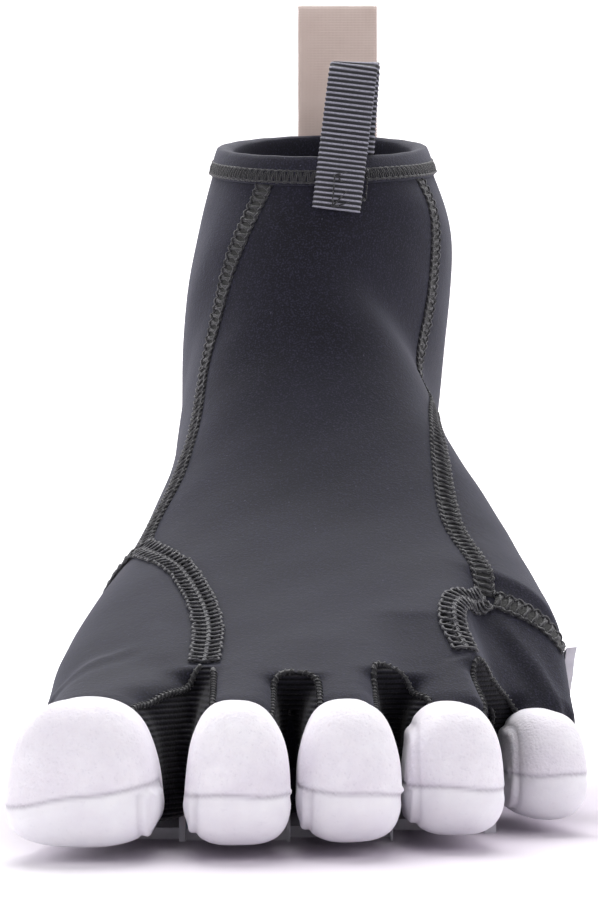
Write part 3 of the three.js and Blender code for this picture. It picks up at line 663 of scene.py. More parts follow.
def largest(part, keep=1, least=12):
    """The biggest connected pieces of a cut mesh."""
    rows, tri = part
    label = np.arange(len(rows))
    e = edges_of(tri)
    while True:
        low = np.minimum(label[e[:, 0]], label[e[:, 1]])
        new = label.copy()
        np.minimum.at(new, e[:, 0], low)
        np.minimum.at(new, e[:, 1], low)
        new = new[new]
        if (new == label).all():
            break
        label = new
    ids, count = np.unique(label[tri[:, 0]], return_counts=True)
    chosen = ids[np.argsort(-count)][:keep]
    chosen = [k for k in chosen if count[list(ids).index(k)] >= least]
    return compact(rows, tri[np.isin(label[tri[:, 0]], chosen)])


def split(part, field):
    """Cuts a part along field(rows) = 0: the positive part, the negative part and the lines."""
    rows, tri = part
    return cut(rows, tri, field(rows))


def toe_region(i):
    """Positive in the part of the skin that moves with toe i."""
    def field(rows):
        x, t = rows[:, 0], rows[:, 1]
        f = BEND_LINES[i] - t
        if i > 0:
            f = np.minimum(f, x - gap_middle(GAPS[i - 1], t))
        if i < len(GAPS):
            f = np.minimum(f, gap_middle(GAPS[i], t) - x)
        return f
    return field


skin = build_skin()
skin, _, _ = split(skin, lambda r: RIM - 0.03 - r[:, S])
skin_tree = BVHTree.FromPolygons([tuple(p) for p in skin[0][:, :3]], skin[1].tolist())
skin_normals = skin[0][:, NORMALS]
skin_faces = skin[1]

toe_parts = []
rest = skin
for i in range(len(TOES)):
    moving, rest, _ = split(rest, toe_region(i))
    moving, _, _ = split(moving, lambda r: r[:, 1] - TOES[i].tip - CLOTH_END)
    toe_parts.append(largest(moving))
rest, _, _ = split(rest, lambda r: r[:, 2] - CUT_HEIGHT)
rest = largest(rest)

gap_lines = []  # (points, body index or None) of each gap's edges
gusset_parts = []
for i, gap in enumerate(GAPS):
    web, rest, lines = split(rest, lambda r: np.minimum(gap_field(gap, r), 90 - r[:, 1]))
    gusset_parts.append(largest(web, 9))
    gap_lines += [(line, None) for line in lines]
rest = largest(rest, 9, 30)
cloth_parts, knit_parts = [], []
for i, part in enumerate(toe_parts):
    knit = []
    for j in (i - 1, i):
        if 0 <= j < len(GAPS):
            side, part, lines = split(part, lambda r: gap_field(GAPS[j], r))
            if len(side[1]) > 20:
                knit.append(largest(side))
            gap_lines += [(line, i) for line in lines]
    cloth_parts.append(largest(part, 2))
    knit_parts.append(knit)


def medial_of(r):
    """Positive between the heel line and the medial seam, in rough millimetres."""
    v, seam = v_of(r), medial_seam(r[:, S])
    return 110 * np.where(v < seam, np.minimum(seam - v, v + 1), -np.minimum(v - seam, 1 - v))


def lateral_of(r):
    v, seam = v_of(r), lateral_seam(r[:, S])
    return 110 * np.where(v > seam, np.minimum(v - seam, 1 - v), -np.minimum(seam - v, v + 1))


medial_rest, rest, _ = split(rest, medial_of)
lateral_rest, vamp_part, _ = split(rest, lateral_of)
medial_quarter_part, big_toe_part, _ = split(medial_rest, lambda r: (r[:, S] - MEDIAL_TOE_END) * 25)
lateral_quarter_part, little_toe_part, _ = split(lateral_rest, lambda r: (r[:, S] - LATERAL_TOE_END) * 25)


# ---------- paths along the skin ----------
def on_skin(points):
    """The nearest skin points and the skin's smooth normals there."""
    place, normal = np.empty((len(points), 3)), np.empty((len(points), 3))
    for i, p in enumerate(points):
        q, _, face, _ = skin_tree.find_nearest(Vector(p))
        corners = skin_faces[face]
        place[i] = q
        normal[i] = skin_normals[corners].mean(0)
    normal /= np.linalg.norm(normal, axis=1, keepdims=True)
    return place, normal


class Path:
    """A line on the skin, with the directions across it and out of the skin at every point."""

    def __init__(self, points, smooth=8, project=True):
        line = resample(np.asarray(points, float), 0.5, smooth)
        if project:
            line, normal = on_skin(line)
        else:
            normal = on_skin(line)[1]
        for _ in range(4):
            normal[1:-1] = normal[1:-1] * 0.5 + (normal[:-2] + normal[2:]) * 0.25
        self.point = line
        self.at = np.concatenate([[0], np.cumsum(np.linalg.norm(np.diff(line, axis=0), axis=1))])
        self.length = self.at[-1]
        along_it = np.gradient(line, axis=0)
        along_it /= np.linalg.norm(along_it, axis=1, keepdims=True)
        self.across = np.cross(normal, along_it)
        self.out = normal

    def place(self, pattern, project=True):
        """Pattern points (along, across, out) in millimetres, laid on the skin."""
        u, a, h = np.asarray(pattern, float).T

        def pick(values):
            return np.stack([np.interp(u, self.at, values[:, k]) for k in range(3)], 1)

        across = pick(self.across)
        p = pick(self.point) + across * a[:, None]
        if not project:
            return p + pick(self.out) * h[:, None]
        q, n = on_skin(p)
        return q + n * h[:, None]


def form_line(sv):
    """Points of the skin along a line given in s and v."""
    s, v = np.array(sv, float).T
    p = form_points(s, v)
    p[:, 2] -= drop_at(p[:, 0], p[:, 1], p[:, 2])
    return p


def plan_line(xt):
    """Points of the skin's upper side along a smooth line given in x and t."""
    x, t = curve_through(xt, 8).T
    z = form_height(x, t)
    return np.stack([x, t, z - drop_at(x, t, z)], 1)


def sweep(points, radius, sides=5):
    """A round thread along points: vertices and faces."""
    p = np.asarray(points, float)
    tangent = np.gradient(p, axis=0)
    tangent /= np.maximum(np.linalg.norm(tangent, axis=1, keepdims=True), 1e-9)
    side = np.zeros_like(p)
    reference = np.array([0.0, 0.0, 1.0]) if abs(tangent[0, 2]) < 0.9 else np.array([1.0, 0.0, 0.0])
    side[0] = np.cross(tangent[0], reference)
    for i in range(1, len(p)):
        side[i] = side[i - 1] - tangent[i] * (side[i - 1] @ tangent[i])
        side[i] /= max(np.linalg.norm(side[i]), 1e-9)
    side[0] /= max(np.linalg.norm(side[0]), 1e-9)
    up = np.cross(side, tangent)
    a = np.linspace(0, 2 * np.pi, sides, endpoint=False)
    r = np.broadcast_to(np.asarray(radius, float), (len(p),))[:, None, None]
    ring = side[:, None, :] * np.cos(a)[None, :, None] + up[:, None, :] * np.sin(a)[None, :, None]
    vertices = (p[:, None, :] + ring * r).reshape(-1, 3)
    return vertices, capped_faces(len(p), sides)


def join_parts(parts):
    vertices, faces, base = [], [], 0
    for v, f in parts:
        vertices.append(v)
        faces += [tuple(base + k for k in face) for face in f]
        base += len(v)
    return np.concatenate(vertices), faces


def thread_piece(name, threads):
    """One object from many threads, each (points, radius)."""
    v, f = join_parts([sweep(points, radius) for points, radius in threads])
    return add_piece(name, v, f)


def curve_through(points, per=6):
    """A smooth curve through pattern points."""
    points = np.asarray(points, float)
    last = len(points) - 1
    return along(points, np.linspace(0, last, last * per + 1))


def flatlock(path, width, pitch=2.0, radius=0.34):
    """The stitches of a flat seam: two threads that cross over it and a chain along each edge."""
    count = max(int(path.length / pitch), 1)
    pitch = path.length / count
    half = width / 2
    threads = []
    for phase in (0, 1):
        knots = []
        for k in range(count + 1):
            side = 1 if (k + phase) % 2 else -1
            u = k * pitch
            knots += [(u - 0.28 * pitch, side * half, 0.1), (u + 0.28 * pitch, side * half, 0.1)]
            if k < count:
                knots.append((u + 0.5 * pitch, 0, 0.55 + 0.12 * phase))
        threads.append((path.place(curve_through(knots, 4)), radius))
    for side in (-1, 1):
        knots = []
        for k in range(count):
            u = k * pitch
            wobble = rng.uniform(-0.12, 0.12)
            knots += [
                (u, side * (half - 0.45), 0.05),
                (u + 0.35 * pitch, side * (half + 0.35) + wobble, 0.42),
                (u + 0.75 * pitch, side * (half - 0.1), 0.5),
            ]
        threads.append((path.place(curve_through(knots, 3)), radius))
    for k in range(count):  # short slanting cross threads fill the middle
        u = (k + 0.5) * pitch + rng.uniform(-0.2, 0.2)
        knots = [(u - 0.6, -half * 0.75, 0.2), (u, 0, 0.42), (u + 0.6, half * 0.75, 0.2)]
        threads.append((path.place(curve_through(knots, 3)), radius * 0.9))
    return threads


def braid(path, width, pitch=2.0, radius=0.33):
    """A wide overlocked seam: two columns of chained loops side by side."""
    count = max(int(path.length / pitch), 1)
    pitch = path.length / count
    column = width / 2
    threads = []
    for middle in (-column / 2, column / 2):
        reach = column * 0.46
        for k in range(count):
            u = k * pitch + rng.uniform(-0.2, 0.2)
            a = [rng.uniform(-0.3, 0.3) for _ in range(3)]
            knots = [
                (u - 0.1, middle - 0.15, 0.1),
                (u + 0.35 * pitch, middle - reach * 0.9 + a[0], 0.45),
                (u + 0.95 * pitch, middle - reach + a[1], 0.55),
                (u + 1.35 * pitch, middle - 0.25, 0.85),
                (u + 1.4 * pitch, middle + 0.25, 0.85),
                (u + 0.95 * pitch, middle + reach + a[2], 0.55),
                (u + 0.35 * pitch, middle + reach * 0.9, 0.45),
                (u - 0.1, middle + 0.15, 0.1),
            ]
            threads.append((path.place(curve_through(knots, 3)), radius))
        knots = []
        for k in range(count * 2 + 1):
            side = 1 if k % 2 else -1
            knots.append((k * pitch / 2, middle + side * reach * 0.55, 0.35))
        threads.append((path.place(curve_through(knots, 3)), radius * 0.85))
    knots = []
    for k in range(count * 2 + 1):
        knots.append((k * pitch / 2, (0.45 if k % 2 else -0.45), 0.55))
    threads.append((path.place(curve_through(knots, 3)), radius * 0.8))
    return threads


def bed(path, width, height=0.28):
    """The low padded strip of thread under the stitches."""
    u = np.arange(0, path.length, 0.8)
    profile = np.array([(-0.5, -0.25), (-0.46, 0.5), (-0.2, 0.95), (0.2, 0.95), (0.46, 0.5), (0.5, -0.25)])
    rings = []
    for a, h in profile:
        rings.append(path.place(np.stack([u, np.full_like(u, a * width), np.full_like(u, h * height)], 1)))
    points = np.stack(rings, 1).reshape(-1, 3)
    return points, capped_faces(len(u), len(profile))


# ---------- panels, gussets and toe cloth ----------
PANEL = 3.0  # thickness of the neoprene panels


def settle(obj, body, slot_name, *nodes, material=None):
    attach(obj, body)
    if nodes:
        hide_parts(*nodes)
    if material:
        obj.data.materials.clear()
        obj.data.materials.append(material)
    return obj


def bend_with(obj, i):
    """A soft piece that goes over from the boot to toe i. Only its transform is baked into its mesh; the
    start and end worked out here are not used.
    """
    toe = TOES[i]
    height = toe.centre
    start = to_row([toe.mid(toe.hinge), BEND_LINES[i], height])
    end = to_row([toe.mid(toe.hinge), toe.bend_end, height])
    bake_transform(obj)


# ---------- materials ----------
def rgb(r, g, b):
    """Linear colour from 0 to 255 screen values."""
    return tuple(((c / 255) ** 2.2) for c in (r, g, b)) + (1.0,)


class Surface:
    """A material made of procedural nodes, in object coordinates in millimetres."""

    def __init__(self, name, roughness=0.7, sheen=0.0, specular=0.4):
        self.material = bpy.data.materials.new(name)
        self.material.use_nodes = True
        self.tree = self.material.node_tree
        self.shader = self.tree.nodes["Principled BSDF"]
        self.shader.inputs["Roughness"].default_value = roughness
        self.shader.inputs["Specular IOR Level"].default_value = specular
        self.shader.inputs["Sheen Weight"].default_value = sheen
        self.shader.inputs["Sheen Roughness"].default_value = 0.45
        coordinates = self.node("ShaderNodeTexCoord")
        scaled = self.node("ShaderNodeVectorMath", operation="SCALE")
        scaled.inputs["Scale"].default_value = 1000
        self.link(coordinates.outputs["Object"], scaled.inputs[0])
        self.mm = scaled.outputs[0]

    def node(self, kind, **settings):
        n = self.tree.nodes.new(kind)
        for key, value in settings.items():
            setattr(n, key, value)
        return n

    def link(self, a, b):
        self.tree.links.new(a, b)

    def stretched(self, scale):
        n = self.node("ShaderNodeVectorMath", operation="MULTIPLY")
        self.link(self.mm, n.inputs[0])
        n.inputs[1].default_value = scale
        return n.outputs[0]

    def noise(self, size, detail=2.0, stretch=None):
        """Noise with lumps of about size millimetres."""
        n = self.node("ShaderNodeTexNoise")
        n.inputs["Scale"].default_value = 1 / size
        n.inputs["Detail"].default_value = detail
        self.link(self.stretched(stretch) if stretch else self.mm, n.inputs["Vector"])
        return n.outputs["Fac"]

    def specks(self, size, share):
        """1 in a few small dots, 0 elsewhere."""
        n = self.node("ShaderNodeTexVoronoi")
        n.inputs["Scale"].default_value = 1 / size
        self.link(self.mm, n.inputs["Vector"])
        pick = self.node("ShaderNodeSeparateColor")
        self.link(n.outputs["Color"], pick.inputs[0])
        chosen = self.ramp(pick.outputs[0], 1 - share, 1 - share + 0.001)
        near = self.ramp(n.outputs["Distance"], 0.3, 0.12)
        return self.math("MULTIPLY", chosen, near)

    def bands(self, period, direction="Z", distortion=0.0):
        n = self.node("ShaderNodeTexWave", bands_direction=direction, wave_profile="SIN")
        n.inputs["Scale"].default_value = 2 * math.pi / (20 * period)
        n.inputs["Distortion"].default_value = distortion
        self.link(self.mm, n.inputs["Vector"])
        return n.outputs["Fac"]

    def ramp(self, value, low, high, a=0.0, b=1.0):
        n = self.node("ShaderNodeMapRange")
        self.link(value, n.inputs["Value"])
        for key, number in zip(("From Min", "From Max", "To Min", "To Max"), (low, high, a, b)):
            n.inputs[key].default_value = number
        return n.outputs[0]

    def math(self, operation, a, b):
        n = self.node("ShaderNodeMath", operation=operation)
        for socket, value in zip(n.inputs, (a, b)):
            if isinstance(value, (int, float)):
                socket.default_value = value
            else:
                self.link(value, socket)
        return n.outputs[0]

    def mix(self, factor, a, b):
        n = self.node("ShaderNodeMix", data_type="RGBA")
        self.link(factor, n.inputs["Factor"])
        for key, value in (("A", a), ("B", b)):
            socket = [k for k in n.inputs if k.name == key and k.type == "RGBA"][0]
            if isinstance(value, tuple):
                socket.default_value = value
            else:
                self.link(value, socket)
        return [k for k in n.outputs if k.type == "RGBA"][0]

    def colour(self, value):
        self.link(value, self.shader.inputs["Base Color"])

    def roughness(self, value):
        self.link(value, self.shader.inputs["Roughness"])

    def bump(self, *layers):
        """Layers of (height, distance in millimetres)."""
        last = None
        for value, distance in layers:
            n = self.node("ShaderNodeBump")
            n.inputs["Strength"].default_value = 1
            n.inputs["Distance"].default_value = distance / 1000
            self.link(value, n.inputs["Height"])
            if last:
                self.link(last, n.inputs["Normal"])
            last = n.outputs["Normal"]
        self.link(last, self.shader.inputs["Normal"])


def neoprene_material(name="neoprene", dark=(17, 16, 24), light=(25, 24, 35)):
    m = Surface(name, roughness=0.78, sheen=0.13, specular=0.2)
    m.shader.inputs["Sheen Tint"].default_value = (0.8, 0.82, 1.0, 1)
    m.shader.inputs["Sheen Roughness"].default_value = 0.5
    broad = m.noise(28, 3)
    grain = m.noise(0.42, 2)
    base = m.mix(m.ramp(broad, 0.3, 0.7), rgb(*dark), rgb(*light))
    base = m.mix(m.ramp(grain, 0.5, 0.72, 0, 0.75), base, rgb(54, 53, 70))
    base = m.mix(m.ramp(grain, 0.46, 0.25, 0, 0.6), base, rgb(12, 12, 16))
    lint = m.specks(0.7, 0.006)
    base = m.mix(m.math("MULTIPLY", lint, 0.45), base, rgb(110, 110, 130))
    m.colour(base)
    m.roughness(m.ramp(grain, 0.3, 0.7, 0.66, 0.84))
    m.bump((grain, 0.09), (m.noise(1.3, 2), 0.07), (m.noise(9, 2), 0.12))
    return m.material


def knit_material():
    """The ribbed stretch cloth between the toes."""
    m = Surface("gusset_knit", roughness=0.88, sheen=0.12, specular=0.15)
    ribs = m.bands(1.05, "Z", 0.6)
    base = m.mix(ribs, rgb(7, 7, 10), rgb(33, 32, 40))
    base = m.mix(m.ramp(m.noise(0.5, 2), 0.5, 0.8, 0, 0.4), base, rgb(48, 47, 56))
    m.colour(base)
    m.bump((ribs, 0.3), (m.noise(0.4, 1), 0.1))
    return m.material


def thread_material(name, dark, light, period=0.55):
    m = Surface(name, roughness=0.55, sheen=0.25, specular=0.5)
    twist = m.noise(period, 1, (1.0, 1.0, 2.2))
    base = m.mix(m.ramp(twist, 0.35, 0.65), rgb(*dark), rgb(*light))
    m.colour(base)
    m.roughness(m.ramp(twist, 0.3, 0.7, 0.42, 0.7))
    m.bump((twist, 0.12))
    return m.material


def groove_shade(m):
    """1 in the grooves of the rubber, where shade is painted into the colour. Its mesh says where."""
    return m.node("ShaderNodeAttribute", attribute_name="groove_shade").outputs["Fac"]


def suede_rubber_material():
    m = Surface("toe_cap_rubber", roughness=0.8, sheen=0.15, specular=0.3)
    grain = m.noise(0.55, 4)
    lumps = m.noise(1.7, 3)
    patches = m.noise(9, 3)
    base = m.mix(m.ramp(patches, 0.3, 0.72), rgb(232, 227, 236), rgb(246, 243, 249))
    base = m.mix(m.ramp(lumps, 0.55, 0.3, 0, 0.2), base, rgb(226, 221, 231))
    base = m.mix(m.ramp(grain, 0.42, 0.25, 0, 0.35), base, rgb(208, 203, 215))
    # painted shade: the cap's colour is darkened in its grooves
    m.colour(m.mix(groove_shade(m), base, rgb(150, 144, 156)))
    m.bump((grain, 0.22), (lumps, 0.2), (patches, 0.12))
    m.shader.inputs["Subsurface Weight"].default_value = 0.08
    m.shader.inputs["Subsurface Radius"].default_value = (0.002, 0.0016, 0.0014)
    return m.material


def smooth_rubber_material(name="toe_pod_rubber", dark=(236, 233, 240), light=(245, 244, 248)):
    m = Surface(name, roughness=0.5, specular=0.42)
    patches = m.noise(7, 3)
    grain = m.noise(0.8, 3)
    base = m.mix(m.ramp(patches, 0.3, 0.7), rgb(*dark), rgb(*light))
    base = m.mix(m.ramp(grain, 0.4, 0.2, 0, 0.25), base, rgb(210, 206, 216))
    # painted shade: the rubber's colour is darkened in its grooves
    m.colour(m.mix(groove_shade(m), base, rgb(150, 144, 156)))
    m.roughness(m.ramp(grain, 0.3, 0.7, 0.42, 0.62))
    m.bump((grain, 0.06), (m.noise(3, 2), 0.1))
    m.shader.inputs["Subsurface Weight"].default_value = 0.08
    m.shader.inputs["Subsurface Radius"].default_value = (0.002, 0.0016, 0.0014)
    return m.material


def ribbed_webbing_material(name, dark, light):
    """Webbing whose crosswise ribs have painted highlights on their crests. The ribbon's own rib attribute
    says where.
    """
    m = Surface(name, roughness=0.55, sheen=0.1, specular=0.45)
    rib = m.node("ShaderNodeAttribute", attribute_name="rib").outputs["Fac"]
    grain = m.noise(0.3, 2)
    # painted highlight: the rib crests are made light
    crest = m.math("MULTIPLY", m.ramp(rib, 0.45, 1.0), m.ramp(grain, 0.3, 0.6, 0.55, 1.0))
    base = m.mix(crest, rgb(*dark), rgb(*light))
    m.colour(base)
    m.roughness(m.ramp(grain, 0.3, 0.7, 0.45, 0.7))
    m.bump((grain, 0.1))
    return m.material


def satin_webbing_material(name, dark, light):
    m = Surface(name, roughness=0.42, sheen=0.15, specular=0.4)
    weave = m.bands(0.42, "X", 0.3)
    broad = m.noise(9, 2)
    base = m.mix(m.ramp(broad, 0.2, 0.8, 0.3, 0.7), rgb(*dark), rgb(*light))
    base = m.mix(m.ramp(weave, 0.2, 0.9, 0, 0.2), base, rgb(*[c * 0.9 for c in dark]))
    m.colour(base)
    m.roughness(m.ramp(weave, 0.2, 0.8, 0.38, 0.5))
    m.bump((weave, 0.02), (m.noise(2.5, 2), 0.03))
    return m.material


def foam_material():
    m = Surface("foam", roughness=0.9, sheen=0.1, specular=0.15)
    cells = m.noise(0.7, 2)
    base = m.mix(m.ramp(cells, 0.35, 0.65), rgb(40, 40, 46), rgb(66, 66, 74))
    m.colour(m.mix(m.ramp(m.noise(14, 2), 0.35, 0.7, 0, 0.5), base, rgb(82, 82, 90)))
    m.bump((cells, 0.25), (m.noise(5, 2), 0.2))
    return m.material


def board_material():
    m = Surface("board", roughness=0.8, specular=0.2)
    fibres = m.noise(0.5, 3, (1.0, 0.12, 1.0))
    base = m.mix(m.ramp(fibres, 0.35, 0.65), rgb(150, 132, 106), rgb(186, 168, 138))
    m.colour(m.mix(m.ramp(m.noise(11, 2), 0.3, 0.7, 0, 0.4), base, rgb(128, 112, 92)))
    m.bump((fibres, 0.12))
    return m.material


def floor_material():
    """Card with a painted shadow: grey where the boot stands. Further out it is white and glows, so that it
    stays even.
    """
    m = Surface("floor", roughness=0.75, specular=0.1)
    away = m.node("ShaderNodeVectorMath", operation="LENGTH")
    m.link(m.mm, away.inputs[0])
    near = m.node("ShaderNodeVectorMath", operation="LENGTH")
    m.link(m.stretched((2.0, 1.0, 1.0)), near.inputs[0])
    card = m.mix(m.noise(60, 2), rgb(246, 243, 248), rgb(250, 248, 251))
    # painted shadow: the card's colour is greyed in a patch round the boot
    m.colour(m.mix(m.ramp(near.outputs["Value"], 120, 190), rgb(214, 206, 217), card))
    glow = m.ramp(away.outputs["Value"], 215, 430, 0, 0.62)
    m.shader.inputs["Emission Color"].default_value = (1, 1, 1, 1)
    m.link(glow, m.shader.inputs["Emission Strength"])
    return m.material


NEOPRENE_LOOK = neoprene_material()
KNIT_LOOK = knit_material()
SEAM_LOOK = thread_material("seam_thread", (5, 5, 7), (46, 45, 52))
BRAID_LOOK = thread_material("braid_thread", (5, 5, 7), (66, 65, 73))
BED_LOOK = thread_material("seam_bed", (4, 4, 5), (15, 15, 18), 0.8)
EDGE_LOOK = thread_material("edge_thread", (5, 5, 7), (38, 37, 44))
BINDING_LOOK = neoprene_material("binding", (20, 19, 27), (28, 27, 37))
CAP_LOOK = suede_rubber_material()
POD_LOOK = smooth_rubber_material()
SOLE_LOOK = smooth_rubber_material("sole_rubber", (206, 204, 212), (230, 228, 235))
# the light colour is the painted highlight on the rib crests
BLACK_WEB_LOOK = ribbed_webbing_material("black_webbing", (24, 24, 30), (158, 157, 172))
PALE_WEB_LOOK = satin_webbing_material("pale_webbing", (176, 156, 148), (204, 188, 181))

# ---------- cloth pieces ----------
STATIC_PANELS = [
    ("vamp_cloth", vamp_part, "vamp_panel"),
    ("medial_quarter_cloth", medial_quarter_part, "medial_quarter"),
    ("lateral_quarter_cloth", lateral_quarter_part, "lateral_quarter"),
    ("big_toe_cloth", big_toe_part, "big_toe_panel"),
    ("little_toe_cloth", little_toe_part, "little_toe_panel"),
]
for name, part, node in STATIC_PANELS:
    settle(cloth_piece(name, largest(part, 4, 60), PANEL), "boot", "neoprene", node, material=NEOPRENE_LOOK)
for i, part in enumerate(gusset_parts):
    obj = cloth_piece(f"gusset_web_{i + 1}", part, CLOTH)
    settle(obj, "boot", "gusset_knit", f"gusset_{i + 1}_{i + 2}", material=KNIT_LOOK)
for i, toe in enumerate(TOES):
    obj = cloth_piece(f"{toe.body}_cloth", cloth_parts[i], CLOTH)
    bend_with(obj, i)
    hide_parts(f"{toe.body}_sleeve")
    obj.data.materials.append(NEOPRENE_LOOK)
    for k, part in enumerate(knit_parts[i]):
        obj = cloth_piece(f"{toe.body}_knit_{k + 1}", part, CLOTH)
        bend_with(obj, i)
        obj.data.materials.append(KNIT_LOOK)

# ---------- rolled edges of the gaps ----------
ROLL_RADIUS = 0.55
WRAP_REACH = 0.66  # how far the wrapping thread stands from the roll's middle
WRAP_PITCH = 1.25
ROLL_LIFT = 0.1
LOWEST_EDGE = 22  # edges below this height are hidden by the caps
for number, body in [(None, "boot")] + list(enumerate([toe.body for toe in TOES])):
    threads = []
    for line, owner in gap_lines:
        if owner != number or len(line) < 6:
            continue
        length = np.linalg.norm(np.diff(line[:, :3], axis=0), axis=1).sum()
        if line[:, 2].mean() < LOWEST_EDGE or length < 4:
            continue
        path = Path(line[:, :3], smooth=5, project=False)
        u = np.arange(0, path.length, 0.6)
        middle = np.stack([u, np.zeros_like(u), np.full_like(u, ROLL_LIFT)], 1)
        threads.append((path.place(middle, project=False), ROLL_RADIUS))
        wraps = []
        for k in range(int(path.length / WRAP_PITCH)):
            centre = (k + 0.5) * WRAP_PITCH
            a = np.linspace(-0.2 * np.pi, 1.2 * np.pi, 8)
            across, up = WRAP_REACH * np.cos(a), ROLL_LIFT + WRAP_REACH * np.sin(a)
            wrap = np.stack([centre + 0.35 * np.cos(a), across, up], 1)
            wraps.append((path.place(wrap, project=False), 0.15))
        threads += wraps
    if not threads:
        continue
    obj = thread_piece(f"{body}_gap_edge", threads)
    obj.data.materials.append(EDGE_LOOK)
    if number is None:
        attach(obj, "boot")
    else:
        bend_with(obj, number)


# ---------- seams ----------
LEG_WIDTH = 4.4
ARC_WIDTH = 6.4
LEG_TOP = 9.93  # s at which the leg's seams start, just below the rim


def leg_path(seam, s_to):
    return Path(form_line([(a, seam(a)) for a in np.linspace(LEG_TOP, s_to, 60)]))


def down_to_sole(s, seam, rand, side):
    """Points round a slice from a seam down to the sole's edge."""
    v = np.linspace(float(seam(s)), side * 0.98, 60)
    points = form_line([(s, a) for a in v])
    keep = points[:, 2] > float(along(rand, min(s, 6))) - 1.5
    return points[keep][1:]


SEAM_PATHS = {
    "medial_vamp": (leg_path(medial_seam, MEDIAL_TOE_END), LEG_WIDTH, flatlock, "medial_vamp_seam"),
    "lateral_vamp": (leg_path(lateral_seam, LATERAL_TOE_END), LEG_WIDTH, flatlock, "lateral_vamp_seam"),
    "big_toe": (
        Path(np.vstack([
            down_to_sole(MEDIAL_TOE_END, medial_seam, RAND_MEDIAL, -1)[::-1],
            form_line([(a, medial_seam(a)) for a in np.linspace(MEDIAL_TOE_END, 0.3, 50)]),
        ])), ARC_WIDTH, braid, "big_toe_seam"),
    "little_toe": (
        Path(plan_line([(39.0, 84.5), (35.2, 79.5), (31.6, 73.5), (30.0, 67), (30.6, 61), (32.2, 55.5)])),
        ARC_WIDTH, braid, "little_toe_seam"),
    "little_toe_side": (
        Path(down_to_sole(LATERAL_TOE_END, lateral_seam, RAND_LATERAL, 1)), LEG_WIDTH, flatlock, None),
    "heel": (
        Path(form_line([(a, 0.9999) for a in np.linspace(9.9, 6.2, 60)])), LEG_WIDTH, flatlock,
        "heel_seam"),
}
for name, (path, width, pattern, node) in SEAM_PATHS.items():
    under = add_piece(f"{name}_seam_bed", *bed(path, width))
    settle(under, "boot", "seam_thread", material=BED_LOOK)
    stitches = thread_piece(f"{name}_stitches", pattern(path, width))
    look = BRAID_LOOK if pattern is braid else SEAM_LOOK
    settle(stitches, "boot", "seam_thread", *([node] if node else []), material=look)

# ---------- toe caps and pods ----------
CAP_VOXEL = 0.56
POWER = 2.7
STRIP_SIDE = {1: 1, 2: -1, 3: -1, 4: -1, 5: -1}  # the side on which the pod's flange shows
NUB_SIDE = {1: 1, 2: 1, 3: 1, 4: -1, 5: -1}  # the side with the mould's nub


def toe_end_shell(toe, sides=56):
    """The outside of a toe's rubber: cap above, pod below."""
    nose = np.sin(np.linspace(0.03, np.pi / 2, 16)) ** 2 * 9
    ends = toe.hinge + 9
    rings = []
    for t in list(toe.tip + nose) + list(np.linspace(toe.tip + 11, ends, 12)):
        f = np.clip((t - toe.tip) / 9.5, 0, 1)
        wide = (1 - (1 - f) ** 2.5) ** (1 / 2.5)
        tall = (1 - (1 - f) ** 2.2) ** (1 / 2.2)
        low = (1 - (1 - np.clip((t - toe.tip) / 8, 0, 1)) ** 2.4) ** (1 / 2.4)
        middle = TOE_SPLIT + 1
        a = np.linspace(0, 2 * np.pi, sides, endpoint=False)
        c, q = np.cos(a), np.sin(a)
        k = (np.abs(c) ** POWER + np.abs(q) ** POWER) ** (-1 / POWER)
        half = toe.half_at(t) * wide
        height = np.where(q > 0, (toe.top[1] - middle) * tall, (middle - TOE_BOTTOM) * low)
        x = toe.mid(t) + half * c * k * (1 - toe.taper * q * k)
        rings.append(np.stack([x, np.full(sides, t), middle + height * q * k], -1))
    return np.concatenate(rings), capped_faces(len(rings), sides)


def parting(toe, x, t):
    """Height of the line between cap and pod. Behind the cap it comes down to the sole."""
    level = TOE_SPLIT + toe.tilt * (x - toe.mid(t))
    level = level + 0.2 * np.sin(x * 0.4 + toe.number)
    lower = smoothstep(t, toe.tip + 13, toe.tip + 25)
    return level + (6.2 - level) * lower


def rounded(d, r):
    """How far a surface drops within r of an edge that is d away."""
    f = np.clip(1 - np.abs(d) / r, 0, 1)
    return r * (1 - np.sqrt(1 - f * f))


